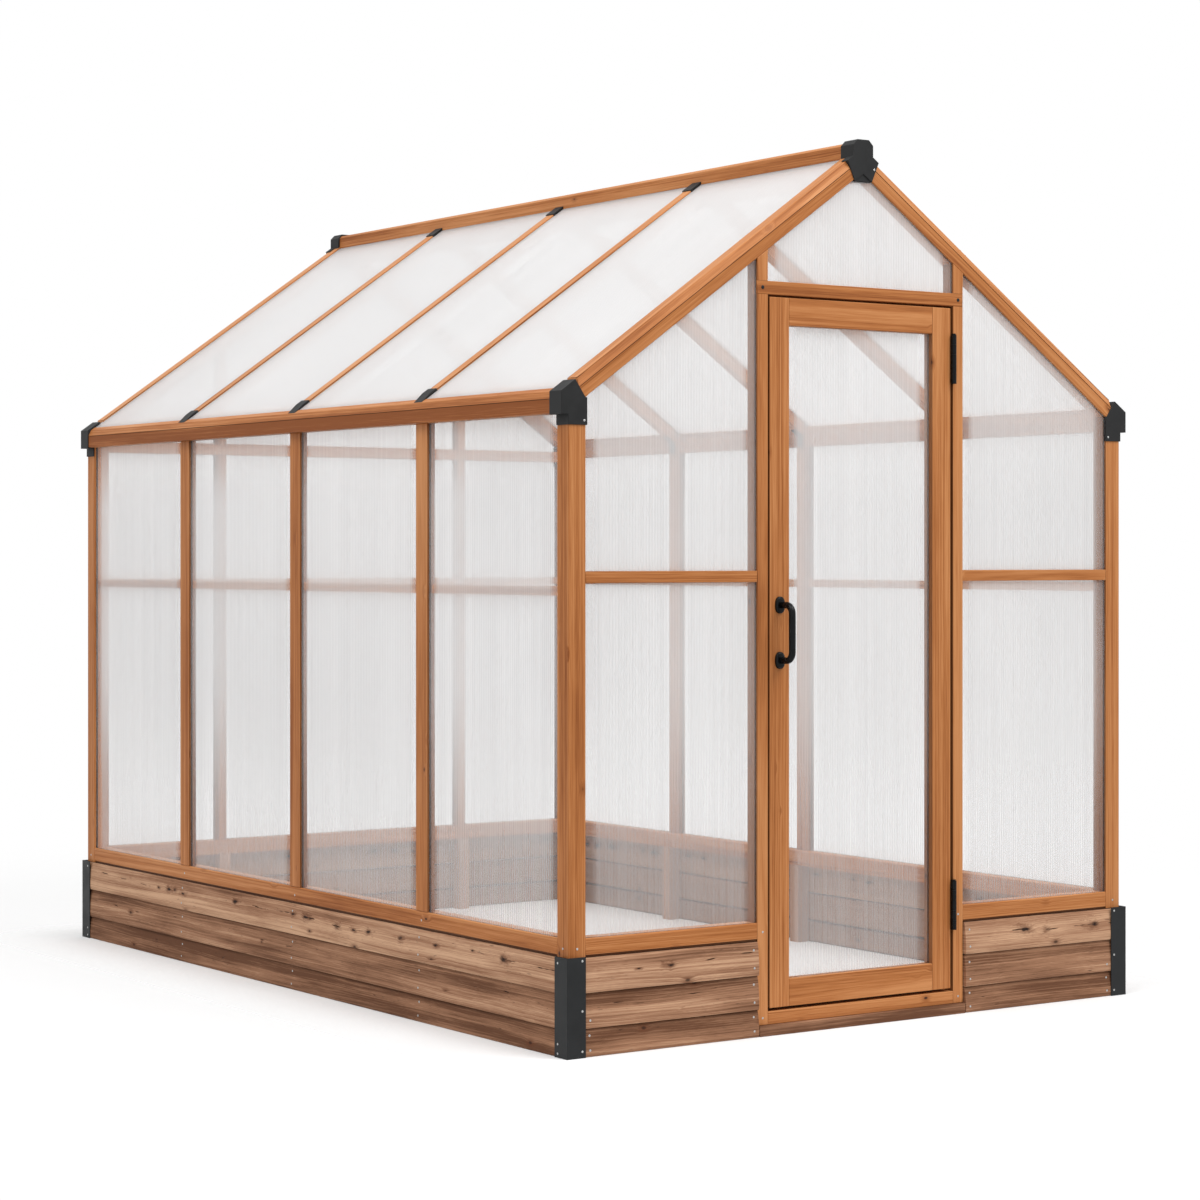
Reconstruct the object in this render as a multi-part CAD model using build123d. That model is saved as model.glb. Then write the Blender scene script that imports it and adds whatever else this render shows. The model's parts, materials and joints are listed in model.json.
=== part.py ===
"""A gable greenhouse: timber frame on a low plank base, twin-wall glazing and one hinged door.

Millimetres, +Z up. The door is in the front wall, which faces -Y. Pieces are laid out with the
posts' front faces at y = 0 and are moved to the part's own origin, the middle of its footprint on
the ground, when they are written.
"""
import os
from math import cos, radians, sin, tan

from build123d import *

os.makedirs("parts", exist_ok=True)

# Plan, heights and roof
frame_width = 1830.0            # over the corner posts, side to side
frame_length = 2740.0           # over the corner posts, front to back
bay_count = 4                   # glazed bays along each side
eave_height = 1553.0            # underside of the eave beams
roof_pitch = radians(35.0)
roof_edge_rise = 52.0           # rafter tops above the eave beam's underside, at its outer face
back_stud_spread = 915.0        # between the centres of the two studs in the back wall

# Plank base
plank_thickness = 28.0
plank_height = 86.0             # of the two upper courses
bottom_plank_height = 68.0
plank_bevel_height = 5.0
plank_bevel_depth = 3.0
base_proud = 11.0               # planks in front of the posts' faces
batten_size = 40.0
angle_leg = 55.0                # metal angle on each corner of the base
angle_thickness = 2.0
angle_stand = 3.0               # angle above the planks' top

# Timber sections
post_size = 50.0
sill_height = 46.0
sill_shadow_height = 6.0        # recess along the sill's foot
sill_shadow_depth = 5.0
sill_bevel = 3.0
side_stud_width = 58.0
side_stud_depth = 24.0
back_stud_width = 30.0
back_stud_depth = 38.0
door_post_width = 34.0
door_post_depth = 42.0
eave_beam_width = 50.0
eave_beam_height = 63.0
eave_overhang = 20.0            # eave beam outside the posts' faces
eave_bevel_height = 18.0        # steep bevel on the upper half of the eave beam's face
eave_bevel_depth = 8.0
eave_chamfer_height = 9.0       # chamfer above it, at the roof's pitch
bead_depth = 1.5                # scored line where face and bevel meet
bead_height = 2.0
rafter_depth = 50.0             # gable rafters, square to the slope
gable_rafter_width = 50.0
gable_bevel_height = 19.0
gable_bevel_depth = 9.0
rafter_width = 36.0             # rafters between the gables
inner_rafter_depth = 44.0
ridge_width = 54.0
ridge_rise = 37.0               # ridge beam above the rafter tops beside it
ridge_chamfer = 8.0
tie_beam_height = 36.0
tie_beam_drop = 14.0            # tie beam's underside below the eave beams'
tie_beam_depth = 42.0
front_rail_height = 29.0
front_rail_depth = 24.0
front_rail_level = 1143.0
side_rail_height = 24.0
side_rail_level = 1112.0

# Glazing
glazing_thickness = 6.0
glazing_inset = 6.0             # wall sheets behind the frame's outer face
roof_glazing_drop = 4.5         # roof sheets below the rafter tops
door_glazing_inset = 15.0
glazing_bite = 8.0              # how far a sheet goes into its groove
groove_room = 0.4
eave_lap = 16.0                 # roof sheet in the eave beam, along the slope

# Moulded connectors and brackets
shell = 3.0                     # wall of every moulding
sleeve_drop = 28.0              # post sleeve below the eave beam
sleeve_reach = 18.0             # rafter sleeve from the post's outer face, at its top
beam_end_gap = 8.0              # eave beam's end behind the frame's front face
ridge_cap_wall = 6.0            # cap over the ridge beam's top and sides
ridge_cap_length = 50.0
ridge_cap_chamfer = 14.0
ridge_arm_reach = 52.0          # arm's end on a rafter's top, from the ridge's middle
ridge_arm_foot = 28.5           # arm's end under the rafter
ridge_arm_depth = 24.0          # arms, and the plug between the rafters' heads
ridge_lip = 6.0                 # under the ridge beam's end
socket_length = 25.0            # rafter socket on the slope, above its nose
socket_nose = 34.0              # tapered part over the eave beam
ridge_socket_length = 42.0
bracket_leg = 34.0              # angle bracket under each rafter's foot
bracket_thickness = 4.0
bracket_width = 24.0
seal_gap = 0.2

# Door and doorway
door_width = 604.0
door_thickness = 34.0
gable_light_rise = 55.5         # gable rafters over the header, at the door posts' outer faces
latch_gap = 5.0                 # beside the door, handle side
hinge_gap = 9.0                 # beside the door, hinge side
door_top_gap = 6.0
door_bottom_gap = 8.0
stile_width = 63.0
door_rail_height = 70.0
header_height = 34.0
threshold_height = 27.0
door_sill_height = 33.0
stop_width = 12.0
stop_gap = 0.8                  # door stop behind the closed door
plank_end_gap = 2.0

# Hinges
hinge_length = 130.0
bottom_hinge_rise = 155.0       # bottom hinge's lower end above the door's lower edge
top_hinge_drop = 70.0           # top hinge's upper end below the door's upper edge
knuckle_radius = 7.0
knuckle_count = 5
knuckle_gap = 0.5
knuckle_standoff = 0.8          # knuckles in front of the door's face
pin_radius = 3.0
pin_clearance = 0.05
pin_head_radius = 5.0
pin_head_height = 3.0
leaf_thickness = 2.5
leaf_depth = 30.0

# Handle
handle_rise = 947.0             # middle of the grip above the door's lower edge
handle_spacing = 140.0          # between the feet's centres
handle_bar = 18.0
handle_standoff = 52.0          # door's face to the middle of the bar
handle_bend = 22.0
foot_width = 29.0
foot_length = 43.0
foot_thickness = 7.0
foot_chamfer = 2.5

# Faces and levels worked out from the sizes above
slope = tan(roof_pitch)
half_width = frame_width / 2
inner_width = half_width - post_size
eave_face = half_width + eave_overhang
eave_inner = eave_face - eave_beam_width
eave_top = eave_height + eave_beam_height
eave_bevel_top = eave_top - eave_chamfer_height
eave_score = eave_bevel_top - eave_bevel_height
ridge_half = ridge_width / 2
base_height = bottom_plank_height + 2 * plank_height
sill_top = base_height + sill_height
plank_face = half_width + base_proud
plank_back = plank_face - plank_thickness
plank_back_y = plank_thickness - base_proud
front_rail_top = front_rail_level + front_rail_height
tie_bottom = eave_height - tie_beam_drop
tie_top = tie_bottom + tie_beam_height
doorway_half = (latch_gap + door_width + hinge_gap) / 2
door_post_outer = doorway_half + door_post_width
plank_end = door_post_outer + plank_end_gap
door_left = latch_gap - doorway_half
door_right = door_left + door_width
door_sill_top = threshold_height + door_sill_height
door_bottom = door_sill_top + door_bottom_gap
half_stud = side_stud_width / 2
near_x = (back_stud_spread - back_stud_width) / 2
far_x = (back_stud_spread + back_stud_width) / 2
stud_lines = [frame_length * bay / bay_count for bay in range(1, bay_count)]
handle_reach = handle_standoff + handle_bar / 2
origin_y = (frame_length + base_proud + angle_thickness - handle_reach) / 2


def roof_z(x, drop=0.0):
    """Height over x of the plane that lies drop below the rafter tops, square to the slope."""
    return eave_height + roof_edge_rise + (eave_face - abs(x)) * slope - drop / cos(roof_pitch)


def on_slope(along, rise):
    """The (x, z) point on the right-hand slope, along it from the peak and rise above the rafters."""
    x = along * cos(roof_pitch) + rise * sin(roof_pitch)
    return x, roof_z(0) - along * sin(roof_pitch) + rise * cos(roof_pitch)


ridge_top = roof_z(ridge_half) + ridge_rise
ridge_bottom = roof_z(ridge_half, rafter_depth)
header_top = roof_z(door_post_outer, rafter_depth) - gable_light_rise
header_bottom = header_top - header_height
door_top = header_bottom - door_top_gap


# Shapes
def block(low_x, high_x, low_y, high_y, low_z, high_z):
    """A box between two corners."""
    corner = Plane((low_x, low_y, low_z))
    return Solid.make_box(high_x - low_x, high_y - low_y, high_z - low_z, corner)


def prism(points, travel):
    """An outline of 3-D points carried along the vector travel."""
    face = make_face(Polyline(*points, close=True))
    return extrude(face, amount=Vector(travel).length, dir=Vector(travel)).solid()


def along_y(outline, low_y, high_y):
    """An outline of (x, z) points carried from low_y to high_y."""
    return prism([(x, low_y, z) for x, z in outline], (0, high_y - low_y, 0))


def along_x(outline, low_x, high_x):
    """An outline of (y, z) points carried from low_x to high_x."""
    return prism([(low_x, y, z) for y, z in outline], (high_x - low_x, 0, 0))


def across(shape):
    """The same shape on the other side of the greenhouse."""
    return mirror(shape, about=Plane.YZ).solid()


def to_back(shape):
    """The same shape at the other end of the greenhouse."""
    return mirror(shape, about=Plane((0, frame_length / 2, 0), z_dir=(0, 1, 0))).solid()


def less(shape, tools):
    """The shape with the tools cut away, as one solid."""
    return (shape - tools).solid() if tools else shape


def save(node, solids):
    """Writes one node, a solid or a group of separate solids, at the part's own origin."""
    group = solids if isinstance(solids, list) else [solids]
    placed = [Pos(0, -origin_y, 0) * solid for solid in group]
    export_step(placed[0] if len(placed) == 1 else Compound(children=placed), f"parts/{node}.step")


# Glazing, one sheet to each opening between the uprights
grooves = []


def pane(corners, inward):
    """A sheet that bites into the frame all round an opening; its groove is kept for the frame."""
    opening = make_face(Polyline(*corners, close=True)).face()
    sheet = offset(opening, amount=glazing_bite, kind=Kind.INTERSECTION)
    groove = offset(opening, amount=glazing_bite + groove_room, kind=Kind.INTERSECTION)
    groove = Pos(Vector(inward) * -groove_room) * groove
    depth = glazing_thickness + 2 * groove_room
    grooves.append(extrude(groove, amount=depth, dir=Vector(inward)).solid())
    return extrude(sheet, amount=glazing_thickness, dir=Vector(inward)).solid()


def grooved(member):
    """A frame member with the glazing grooves that run through it."""
    box = member.bounding_box()
    return less(member, [groove for groove in grooves if box.overlaps(groove.bounding_box())])


def bay_spans(end_width, upright_width):
    """The clear spans along a side, between end uprights and uprights on the bay lines."""
    lows = [end_width] + [line + upright_width / 2 for line in stud_lines]
    highs = [line - upright_width / 2 for line in stud_lines] + [frame_length - end_width]
    return list(zip(lows, highs))


def back_spans():
    """The clear spans along the back wall, between its posts and studs."""
    return [(-inner_width, -far_x), (-near_x, near_x), (far_x, inner_width)]


def wall_pane(y, inward, span, low_z, high_z=None):
    """A sheet in an end wall, up to high_z or, without one, up to the gable rafters."""
    low_x, high_x = span
    if high_z is None:
        peaks = [x for x in (high_x, ridge_half, -ridge_half, low_x) if low_x <= x <= high_x]
        top = [(x, y, roof_z(x, rafter_depth)) for x in peaks]
    else:
        top = [(high_x, y, high_z), (low_x, y, high_z)]
    return pane([(low_x, y, low_z), (high_x, y, low_z)] + top, inward)


def side_panes(side):
    """The sheets of one long wall; side is -1 on the left and 1 on the right."""
    x = side * (half_width - glazing_inset)
    return [pane([(x, low, sill_top), (x, high, sill_top), (x, high, eave_height), (x, low, eave_height)],
                 (-side, 0, 0)) for low, high in bay_spans(post_size, side_stud_width)]


def roof_panes(side):
    """The sheets of one slope, from the ridge beam's side into the top of the eave beam."""
    underside = roof_glazing_drop + glazing_thickness
    meets_beam = eave_face + (roof_edge_rise - eave_beam_height - underside / cos(roof_pitch)) / slope
    low_edge = meets_beam + (eave_lap - glazing_bite) * cos(roof_pitch)
    ridge_z = roof_z(ridge_half, roof_glazing_drop)
    low_z = roof_z(low_edge, roof_glazing_drop)
    return [pane([(side * ridge_half, low, ridge_z), (side * ridge_half, high, ridge_z),
                  (side * low_edge, high, low_z), (side * low_edge, low, low_z)],
                 (-side * sin(roof_pitch), 0, -cos(roof_pitch)))
            for low, high in bay_spans(gable_rafter_width, rafter_width)]


front_sheet_y = glazing_inset
back_sheet_y = frame_length - glazing_inset
door_opening = (door_left + stile_width, door_right - stile_width)
glazing_left = side_panes(-1)
glazing_right = side_panes(1)
front_spans = [(-inner_width, -door_post_outer), (door_post_outer, inner_width)]
glazing_front = [wall_pane(front_sheet_y, (0, 1, 0), span, sill_top, front_rail_level)
                 for span in front_spans]
glazing_front += [wall_pane(front_sheet_y, (0, 1, 0), span, front_rail_top) for span in front_spans]
glazing_front.append(wall_pane(front_sheet_y, (0, 1, 0), (-doorway_half, doorway_half), header_top))
glazing_back = [wall_pane(back_sheet_y, (0, -1, 0), span, sill_top, tie_bottom) for span in back_spans()]
glazing_back += [wall_pane(back_sheet_y, (0, -1, 0), span, tie_top) for span in back_spans()]
roof_glazing_left = roof_panes(-1)
roof_glazing_right = roof_panes(1)
door_glazing = wall_pane(door_glazing_inset, (0, 1, 0), door_opening,
                         door_bottom + door_rail_height, door_top - door_rail_height)
save("glazing_left", glazing_left)
save("glazing_right", glazing_right)
save("glazing_front", glazing_front)
save("glazing_back", glazing_back)
save("roof_glazing_left", roof_glazing_left)
save("roof_glazing_right", roof_glazing_right)
save("door_glazing", door_glazing)


# Plank base
def plank_section(face, back, low, height):
    """A plank's section, with both edges of its outer face bevelled; face and back are coordinates."""
    eased = face + plank_bevel_depth * (1 if back > face else -1)
    high = low + height
    return [(back, low), (eased, low), (face, low + plank_bevel_height),
            (face, high - plank_bevel_height), (eased, high), (back, high)]


courses = [(0.0, bottom_plank_height), (bottom_plank_height, plank_height),
           (bottom_plank_height + plank_height, plank_height)]
base_back = frame_length + base_proud
planks_left = [along_y(plank_section(-plank_face, -plank_back, *course), -base_proud, base_back)
               for course in courses]
planks_front = [along_x(plank_section(-base_proud, plank_back_y, *course), -plank_back, -plank_end)
                for course in courses]
planks_back = [along_x(plank_section(base_back, frame_length - plank_back_y, *course),
                       -plank_back, plank_back) for course in courses]
save("base_planks_left", planks_left)
save("base_planks_right", [across(plank) for plank in planks_left])
save("base_planks_front_left", planks_front)
save("base_planks_front_right", [across(plank) for plank in planks_front])
save("base_planks_back", planks_back)
save("threshold_board", block(-door_post_outer, door_post_outer, -base_proud, door_post_depth,
                              0, threshold_height))


def batten(low_x, low_y):
    """An upright behind the planks, full base height, from its corner."""
    return block(low_x, low_x + batten_size, low_y, low_y + batten_size, 0, base_height)


half_batten = batten_size / 2
battens = [batten(-plank_back, line - half_batten) for line in stud_lines]
battens.append(batten(-plank_end - batten_size, plank_back_y))
battens.append(batten(-back_stud_spread / 2 - half_batten, frame_length - plank_back_y - batten_size))
save("base_battens", battens + [across(piece) for piece in battens])

angle_x = -plank_face - angle_thickness
angle_y = -base_proud - angle_thickness
angle = prism([(angle_x, angle_y, 0), (angle_x + angle_leg, angle_y, 0),
               (angle_x + angle_leg, -base_proud, 0), (-plank_face, -base_proud, 0),
               (-plank_face, angle_y + angle_leg, 0), (angle_x, angle_y + angle_leg, 0)],
              (0, 0, base_height + angle_stand))
front_angles = [angle, across(angle)]
save("base_corner_angles", front_angles + [to_back(piece) for piece in front_angles])


# Sills
def sill_section(face, back):
    """A sill's section: a recess along its foot and an eased upper edge, both on the outer face."""
    inward = 1 if back > face else -1
    foot = face + inward * sill_shadow_depth
    return [(back, base_height), (foot, base_height), (foot, base_height + sill_shadow_height),
            (face, base_height + sill_shadow_height), (face, sill_top - sill_bevel),
            (face + inward * sill_bevel, sill_top), (back, sill_top)]


sill_left = grooved(along_y(sill_section(-half_width, -inner_width), post_size, frame_length - post_size))
sill_front = grooved(along_x(sill_section(0, post_size), -inner_width, -door_post_outer))
save("sill_left", sill_left)
save("sill_right", across(sill_left))
save("sill_front_left", sill_front)
save("sill_front_right", across(sill_front))
save("sill_back", grooved(along_x(sill_section(frame_length, frame_length - post_size),
                                  -inner_width, inner_width)))
save("door_sill", block(-doorway_half, doorway_half, 0, door_post_depth, threshold_height, door_sill_top))


# Roof timbers
def eave_section():
    """The right-hand eave beam's section: plain face, scored line, bevel, then the roof's chamfer."""
    chamfer_x = eave_face - eave_bevel_depth - eave_chamfer_height / slope
    return [(eave_inner, eave_height), (eave_inner, eave_top), (chamfer_x, eave_top),
            (eave_face - eave_bevel_depth, eave_bevel_top), (eave_face, eave_score),
            (eave_face - bead_depth, eave_score - bead_height / 2), (eave_face, eave_score - bead_height),
            (eave_face, eave_height)]


def sloped(section, inner_x, outer_x):
    """A section of (y, rise) points carried down the right-hand slope and cut upright at both ends."""
    low, high = 0.0, 2 * outer_x
    points = [(on_slope(low, rise)[0], y, on_slope(low, rise)[1]) for y, rise in section]
    bar = prism(points, (high * cos(roof_pitch), 0, -high * sin(roof_pitch)))
    return (bar & block(inner_x, outer_x, -frame_length, 2 * frame_length, 0, 2 * ridge_top)).solid()


score_rise = -gable_bevel_height
gable_section = [(0, -rafter_depth), (0, score_rise - bead_height),
                 (bead_depth, score_rise - bead_height / 2), (0, score_rise), (gable_bevel_depth, 0),
                 (gable_rafter_width, 0), (gable_rafter_width, -rafter_depth)]
gable_rafter = sloped(gable_section, ridge_half, eave_inner)
eave_beam = along_y(eave_section(), beam_end_gap, frame_length - beam_end_gap)
ridge_cut = ridge_half - ridge_chamfer
ridge_beam = along_y([(-ridge_half, ridge_bottom), (ridge_half, ridge_bottom),
                      (ridge_half, ridge_top - ridge_chamfer), (ridge_cut, ridge_top),
                      (-ridge_cut, ridge_top), (-ridge_half, ridge_top - ridge_chamfer)],
                     ridge_arm_depth, frame_length - ridge_arm_depth)


def rafter(line):
    """A plain rafter of the right-hand slope, over a bay line."""
    low, high = line - rafter_width / 2, line + rafter_width / 2
    section = [(low, -inner_rafter_depth), (high, -inner_rafter_depth), (high, 0), (low, 0)]
    return sloped(section, ridge_half, eave_inner)


rafters = [rafter(line) for line in stud_lines]
rafters_right = [grooved(piece) for piece in rafters]
eave_beam_right = grooved(eave_beam)
save("eave_beam_right", eave_beam_right)
save("eave_beam_left", across(eave_beam_right))
save("ridge_beam", grooved(ridge_beam))
save("gable_rafter_front_right", grooved(gable_rafter))
save("gable_rafter_front_left", grooved(across(gable_rafter)))
save("gable_rafter_back_right", grooved(to_back(gable_rafter)))
save("gable_rafter_back_left", grooved(across(to_back(gable_rafter))))
save("rafters_right", rafters_right)
save("rafters_left", [across(piece) for piece in rafters_right])

# Corner posts and the uprights of the walls
post_top = roof_z(inner_width, rafter_depth)
corner_post = less(block(inner_width, half_width, 0, post_size, base_height, post_top),
                   [gable_rafter, block(eave_inner, eave_face, 0, post_size, eave_height, eave_top)])
save("corner_post_front_right", grooved(corner_post))
save("corner_post_front_left", grooved(across(corner_post)))
save("corner_post_back_right", grooved(to_back(corner_post)))
save("corner_post_back_left", grooved(across(to_back(corner_post))))

studs_left = [grooved(block(-half_width, side_stud_depth - half_width, line - half_stud, line + half_stud,
                            sill_top, eave_height)) for line in stud_lines]
save("studs_left", studs_left)
save("studs_right", [across(stud) for stud in studs_left])

stud_y = frame_length - back_stud_depth
lower_stud = block(near_x, far_x, stud_y, frame_length, sill_top, tie_bottom)
upper_stud = along_y([(near_x, tie_top), (far_x, tie_top), (far_x, roof_z(far_x, rafter_depth)),
                      (near_x, roof_z(near_x, rafter_depth))], stud_y, frame_length)
back_studs = [grooved(lower_stud), grooved(upper_stud)]
save("studs_back", back_studs + [across(stud) for stud in back_studs])
tie_y = frame_length - tie_beam_depth
tie_beam = block(-inner_width, inner_width, tie_y, frame_length, tie_bottom, tie_top)
save("tie_beam_back", grooved(tie_beam))

# Rails: behind the sheets in the long walls and the back, between two sheets at the front
sheet_back = glazing_inset + glazing_thickness + seal_gap
side_rail_top = side_rail_level + side_rail_height
rails_left = [block(sheet_back - half_width, side_stud_depth - half_width, low, high,
                    side_rail_level, side_rail_top) for low, high in bay_spans(post_size, side_stud_width)]
save("mid_rails_left", rails_left)
save("mid_rails_right", [across(rail) for rail in rails_left])
save("mid_rails_back", [block(low, high, stud_y, frame_length - sheet_back,
                              side_rail_level, side_rail_top) for low, high in back_spans()])
front_rail = grooved(block(-inner_width, -door_post_outer, 0, front_rail_depth,
                           front_rail_level, front_rail_top))
save("mid_rails_front", [front_rail, across(front_rail)])

# Doorway: posts up to the gable rafters, a header half-lapped into them, and stops for the door
lap = door_post_depth / 2
header = (block(-door_post_outer, door_post_outer, 0, lap, header_bottom, header_top)
          + block(-doorway_half, doorway_half, lap, door_post_depth, header_bottom, header_top)).solid()
door_post = along_y([(doorway_half, threshold_height), (door_post_outer, threshold_height),
                     (door_post_outer, roof_z(door_post_outer, rafter_depth)),
                     (doorway_half, roof_z(doorway_half, rafter_depth))], 0, door_post_depth)
door_post = grooved(less(door_post, [header]))
save("door_header", grooved(header))
save("door_post_right", door_post)
save("door_post_left", across(door_post))

stop_y = door_thickness + stop_gap
stop_x = doorway_half - stop_width
side_stop = block(stop_x, doorway_half, stop_y, door_post_depth, door_sill_top, header_bottom)
top_stop = block(-stop_x, stop_x, stop_y, door_post_depth, header_bottom - stop_width, header_bottom)
save("door_stops", [side_stop, across(side_stop), top_stop])

# Door
left_stile = block(door_left, door_opening[0], 0, door_thickness, door_bottom, door_top)
right_stile = block(door_opening[1], door_right, 0, door_thickness, door_bottom, door_top)
bottom_rail = block(*door_opening, 0, door_thickness, door_bottom, door_bottom + door_rail_height)
top_rail = block(*door_opening, 0, door_thickness, door_top - door_rail_height, door_top)
save("door_stile_left", grooved(left_stile))
save("door_stile_right", grooved(right_stile))
save("door_rail_bottom", grooved(bottom_rail))
save("door_rail_top", grooved(top_rail))

# Butt hinges in the gap beside the door, with their knuckles outside
hinge_x = door_right + hinge_gap / 2
hinge_y = -knuckle_radius - knuckle_standoff
knuckle_pitch = hinge_length / knuckle_count


def rod(radius, low_z, high_z):
    """A round bar on a hinge's axis."""
    return Solid.make_cylinder(radius, high_z - low_z, Plane((hinge_x, hinge_y, low_z)))


def leaf(low_x, high_x, low_z, knuckles):
    """A hinge leaf: a flat plate, the numbered knuckles and the webs that curl round to them."""
    pieces = [block(low_x, high_x, 0, leaf_depth, low_z, low_z + hinge_length)]
    for number in knuckles:
        bottom = low_z + number * knuckle_pitch + knuckle_gap / 2
        top = bottom + knuckle_pitch - knuckle_gap
        pieces.append(rod(knuckle_radius, bottom, top))
        pieces.append(block(low_x, high_x, hinge_y, 0, bottom, top))
    body = pieces[0].fuse(*pieces[1:])
    return less(body, [rod(pin_radius + pin_clearance, low_z, low_z + hinge_length)])


def hinge_pin(low_z):
    """A pin that hangs by its head on the top knuckle."""
    head_z = low_z + hinge_length - knuckle_gap / 2
    head = rod(pin_head_radius, head_z, head_z + pin_head_height)
    return rod(pin_radius, low_z, head_z).fuse(head).solid()


hinge_levels = [door_bottom + bottom_hinge_rise, door_top - top_hinge_drop - hinge_length]
frame_knuckles = range(0, knuckle_count, 2)
door_knuckles = range(1, knuckle_count, 2)
save("hinge_leaves_frame", [leaf(doorway_half - leaf_thickness, doorway_half, level, frame_knuckles)
                            for level in hinge_levels])
save("hinge_leaves_door", [leaf(door_right, door_right + leaf_thickness, level, door_knuckles)
                           for level in hinge_levels])
save("hinge_pins", [hinge_pin(level) for level in hinge_levels])


# Handle: a round bar bent to a D between two oval feet
def handle():
    """The pull on the door's free stile."""
    x = door_left + stile_width / 2
    low = door_bottom + handle_rise - handle_spacing / 2
    high = low + handle_spacing
    start = -foot_thickness / 2
    path = FilletPolyline((x, start, low), (x, -handle_standoff, low), (x, -handle_standoff, high),
                          (x, start, high), radius=handle_bend)
    bar = sweep(Plane((x, start, low), z_dir=(0, -1, 0)) * Circle(handle_bar / 2), path=path)
    for level in (low, high):
        plane = Plane((x, 0, level), x_dir=(0, 0, 1), z_dir=(0, -1, 0))
        foot = extrude(plane * SlotOverall(foot_length, foot_width), amount=foot_thickness)
        bar += chamfer(foot.faces().sort_by(Axis.Y)[0].edges(), foot_chamfer)
    return bar.solid()


save("door_handle", handle())


# Moulded connectors
def eave_connector():
    """The corner moulding: one shell with sleeves for the post, the eave beam and the gable rafter."""
    cover = shell / cos(roof_pitch)
    low = eave_height - sleeve_drop
    lip = eave_height - shell
    cut_x = half_width - sleeve_reach
    cut_z = roof_z(cut_x) + cover
    cut = rafter_depth + shell
    foot_x, foot_z = cut_x - cut * sin(roof_pitch), cut_z - cut * cos(roof_pitch)
    outline = [(inner_width, low), (half_width + shell, low), (half_width + shell, lip),
               (eave_face + shell, lip), (eave_face + shell, roof_z(eave_face + shell) + cover),
               (cut_x, cut_z), (foot_x, foot_z)]
    body = along_y(outline, -shell, post_size)
    wrap = block(inner_width - shell, half_width, -shell, glazing_inset - groove_room, low, foot_z)
    return grooved(less(body.fuse(wrap), [corner_post, gable_rafter, eave_beam]))


def both_sides(half):
    """An outline from its right-hand half, listed downwards."""
    return half + [(-x, z) for x, z in reversed(half)]


def ridge_connector():
    """The ridge moulding: a cap on the beam's end, an arm round each gable rafter and a lip below."""
    cover = shell / cos(roof_pitch)
    side = ridge_half + ridge_cap_wall
    top = ridge_top + ridge_cap_wall
    arm_drop = rafter_depth + shell
    cap = along_y(both_sides([(side - ridge_cap_chamfer, top), (side, top - ridge_cap_chamfer),
                              (side, roof_z(side))]), -shell, ridge_cap_length)
    right_arm = [(0, roof_z(side)), (side, roof_z(side) + cover),
                 (ridge_arm_reach, roof_z(ridge_arm_reach) + cover),
                 (ridge_arm_foot, roof_z(ridge_arm_foot, arm_drop)), (0, roof_z(0, arm_drop))]
    arm = along_y(right_arm, -shell, ridge_arm_depth)
    lip = block(-ridge_half, ridge_half, 0, ridge_arm_depth, ridge_bottom - ridge_lip, roof_z(0, arm_drop))
    body = cap.fuse(arm, across(arm), lip)
    return grooved(less(body, [ridge_beam, gable_rafter, across(gable_rafter)]))


corner_moulding = eave_connector()
front_connectors = [corner_moulding, across(corner_moulding)]
back_connectors = [less(to_back(piece), [tie_beam]) for piece in front_connectors]
save("eave_connectors", front_connectors + back_connectors)
ridge_moulding = ridge_connector()
save("ridge_connectors", [ridge_moulding, to_back(ridge_moulding)])

# Sockets that cap both ends of the plain rafters, and brackets under their feet
socket_bed = seal_gap - roof_glazing_drop


def eave_socket(piece, line):
    """The cap over a rafter's foot: cheeks and a top on the rafter, and a nose on the eave beam."""
    nose_x = eave_face - socket_nose
    upper = nose_x / cos(roof_pitch) - socket_length
    bed_x = eave_face - eave_bevel_depth - eave_chamfer_height / slope / 2
    outline = [(eave_face - eave_bevel_depth, eave_bevel_top),
               (nose_x, roof_z(nose_x) + shell / cos(roof_pitch)),
               on_slope(upper, shell), on_slope(upper, socket_bed), (bed_x, roof_z(bed_x, -socket_bed))]
    reach = rafter_width / 2 + shell
    return less(along_y(outline, line - reach, line + reach), [piece, eave_beam])


def ridge_socket(piece, line):
    """The cap over a rafter's head: cheeks and a top, against the ridge beam's side."""
    lower = ridge_half / cos(roof_pitch) + ridge_socket_length
    outline = [(ridge_half, roof_z(ridge_half, -socket_bed)), (ridge_half, roof_z(ridge_half, -shell)),
               on_slope(lower, shell), on_slope(lower, socket_bed)]
    reach = rafter_width / 2 + shell
    return less(along_y(outline, line - reach, line + reach), [piece])


def foot_bracket(line):
    """The angle bracket between the eave beam's inner face and a rafter's underside."""
    inner_x = eave_inner - bracket_thickness
    corner_z = roof_z(eave_inner, inner_rafter_depth)
    along = (eave_inner + inner_rafter_depth * sin(roof_pitch)) / cos(roof_pitch) - bracket_leg
    outline = [(eave_inner, corner_z), on_slope(along, -inner_rafter_depth),
               on_slope(along, -inner_rafter_depth - bracket_thickness),
               (inner_x, roof_z(inner_x, inner_rafter_depth + bracket_thickness)),
               (inner_x, corner_z - bracket_leg), (eave_inner, corner_z - bracket_leg)]
    return along_y(outline, line - bracket_width / 2, line + bracket_width / 2)


eave_sockets = [eave_socket(piece, line) for piece, line in zip(rafters, stud_lines)]
ridge_sockets = [ridge_socket(piece, line) for piece, line in zip(rafters, stud_lines)]
brackets = [foot_bracket(line) for line in stud_lines]
save("rafter_eave_sockets", eave_sockets + [across(piece) for piece in eave_sockets])
save("rafter_ridge_sockets", ridge_sockets + [across(piece) for piece in ridge_sockets])
save("rafter_brackets", brackets + [across(piece) for piece in brackets])
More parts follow.
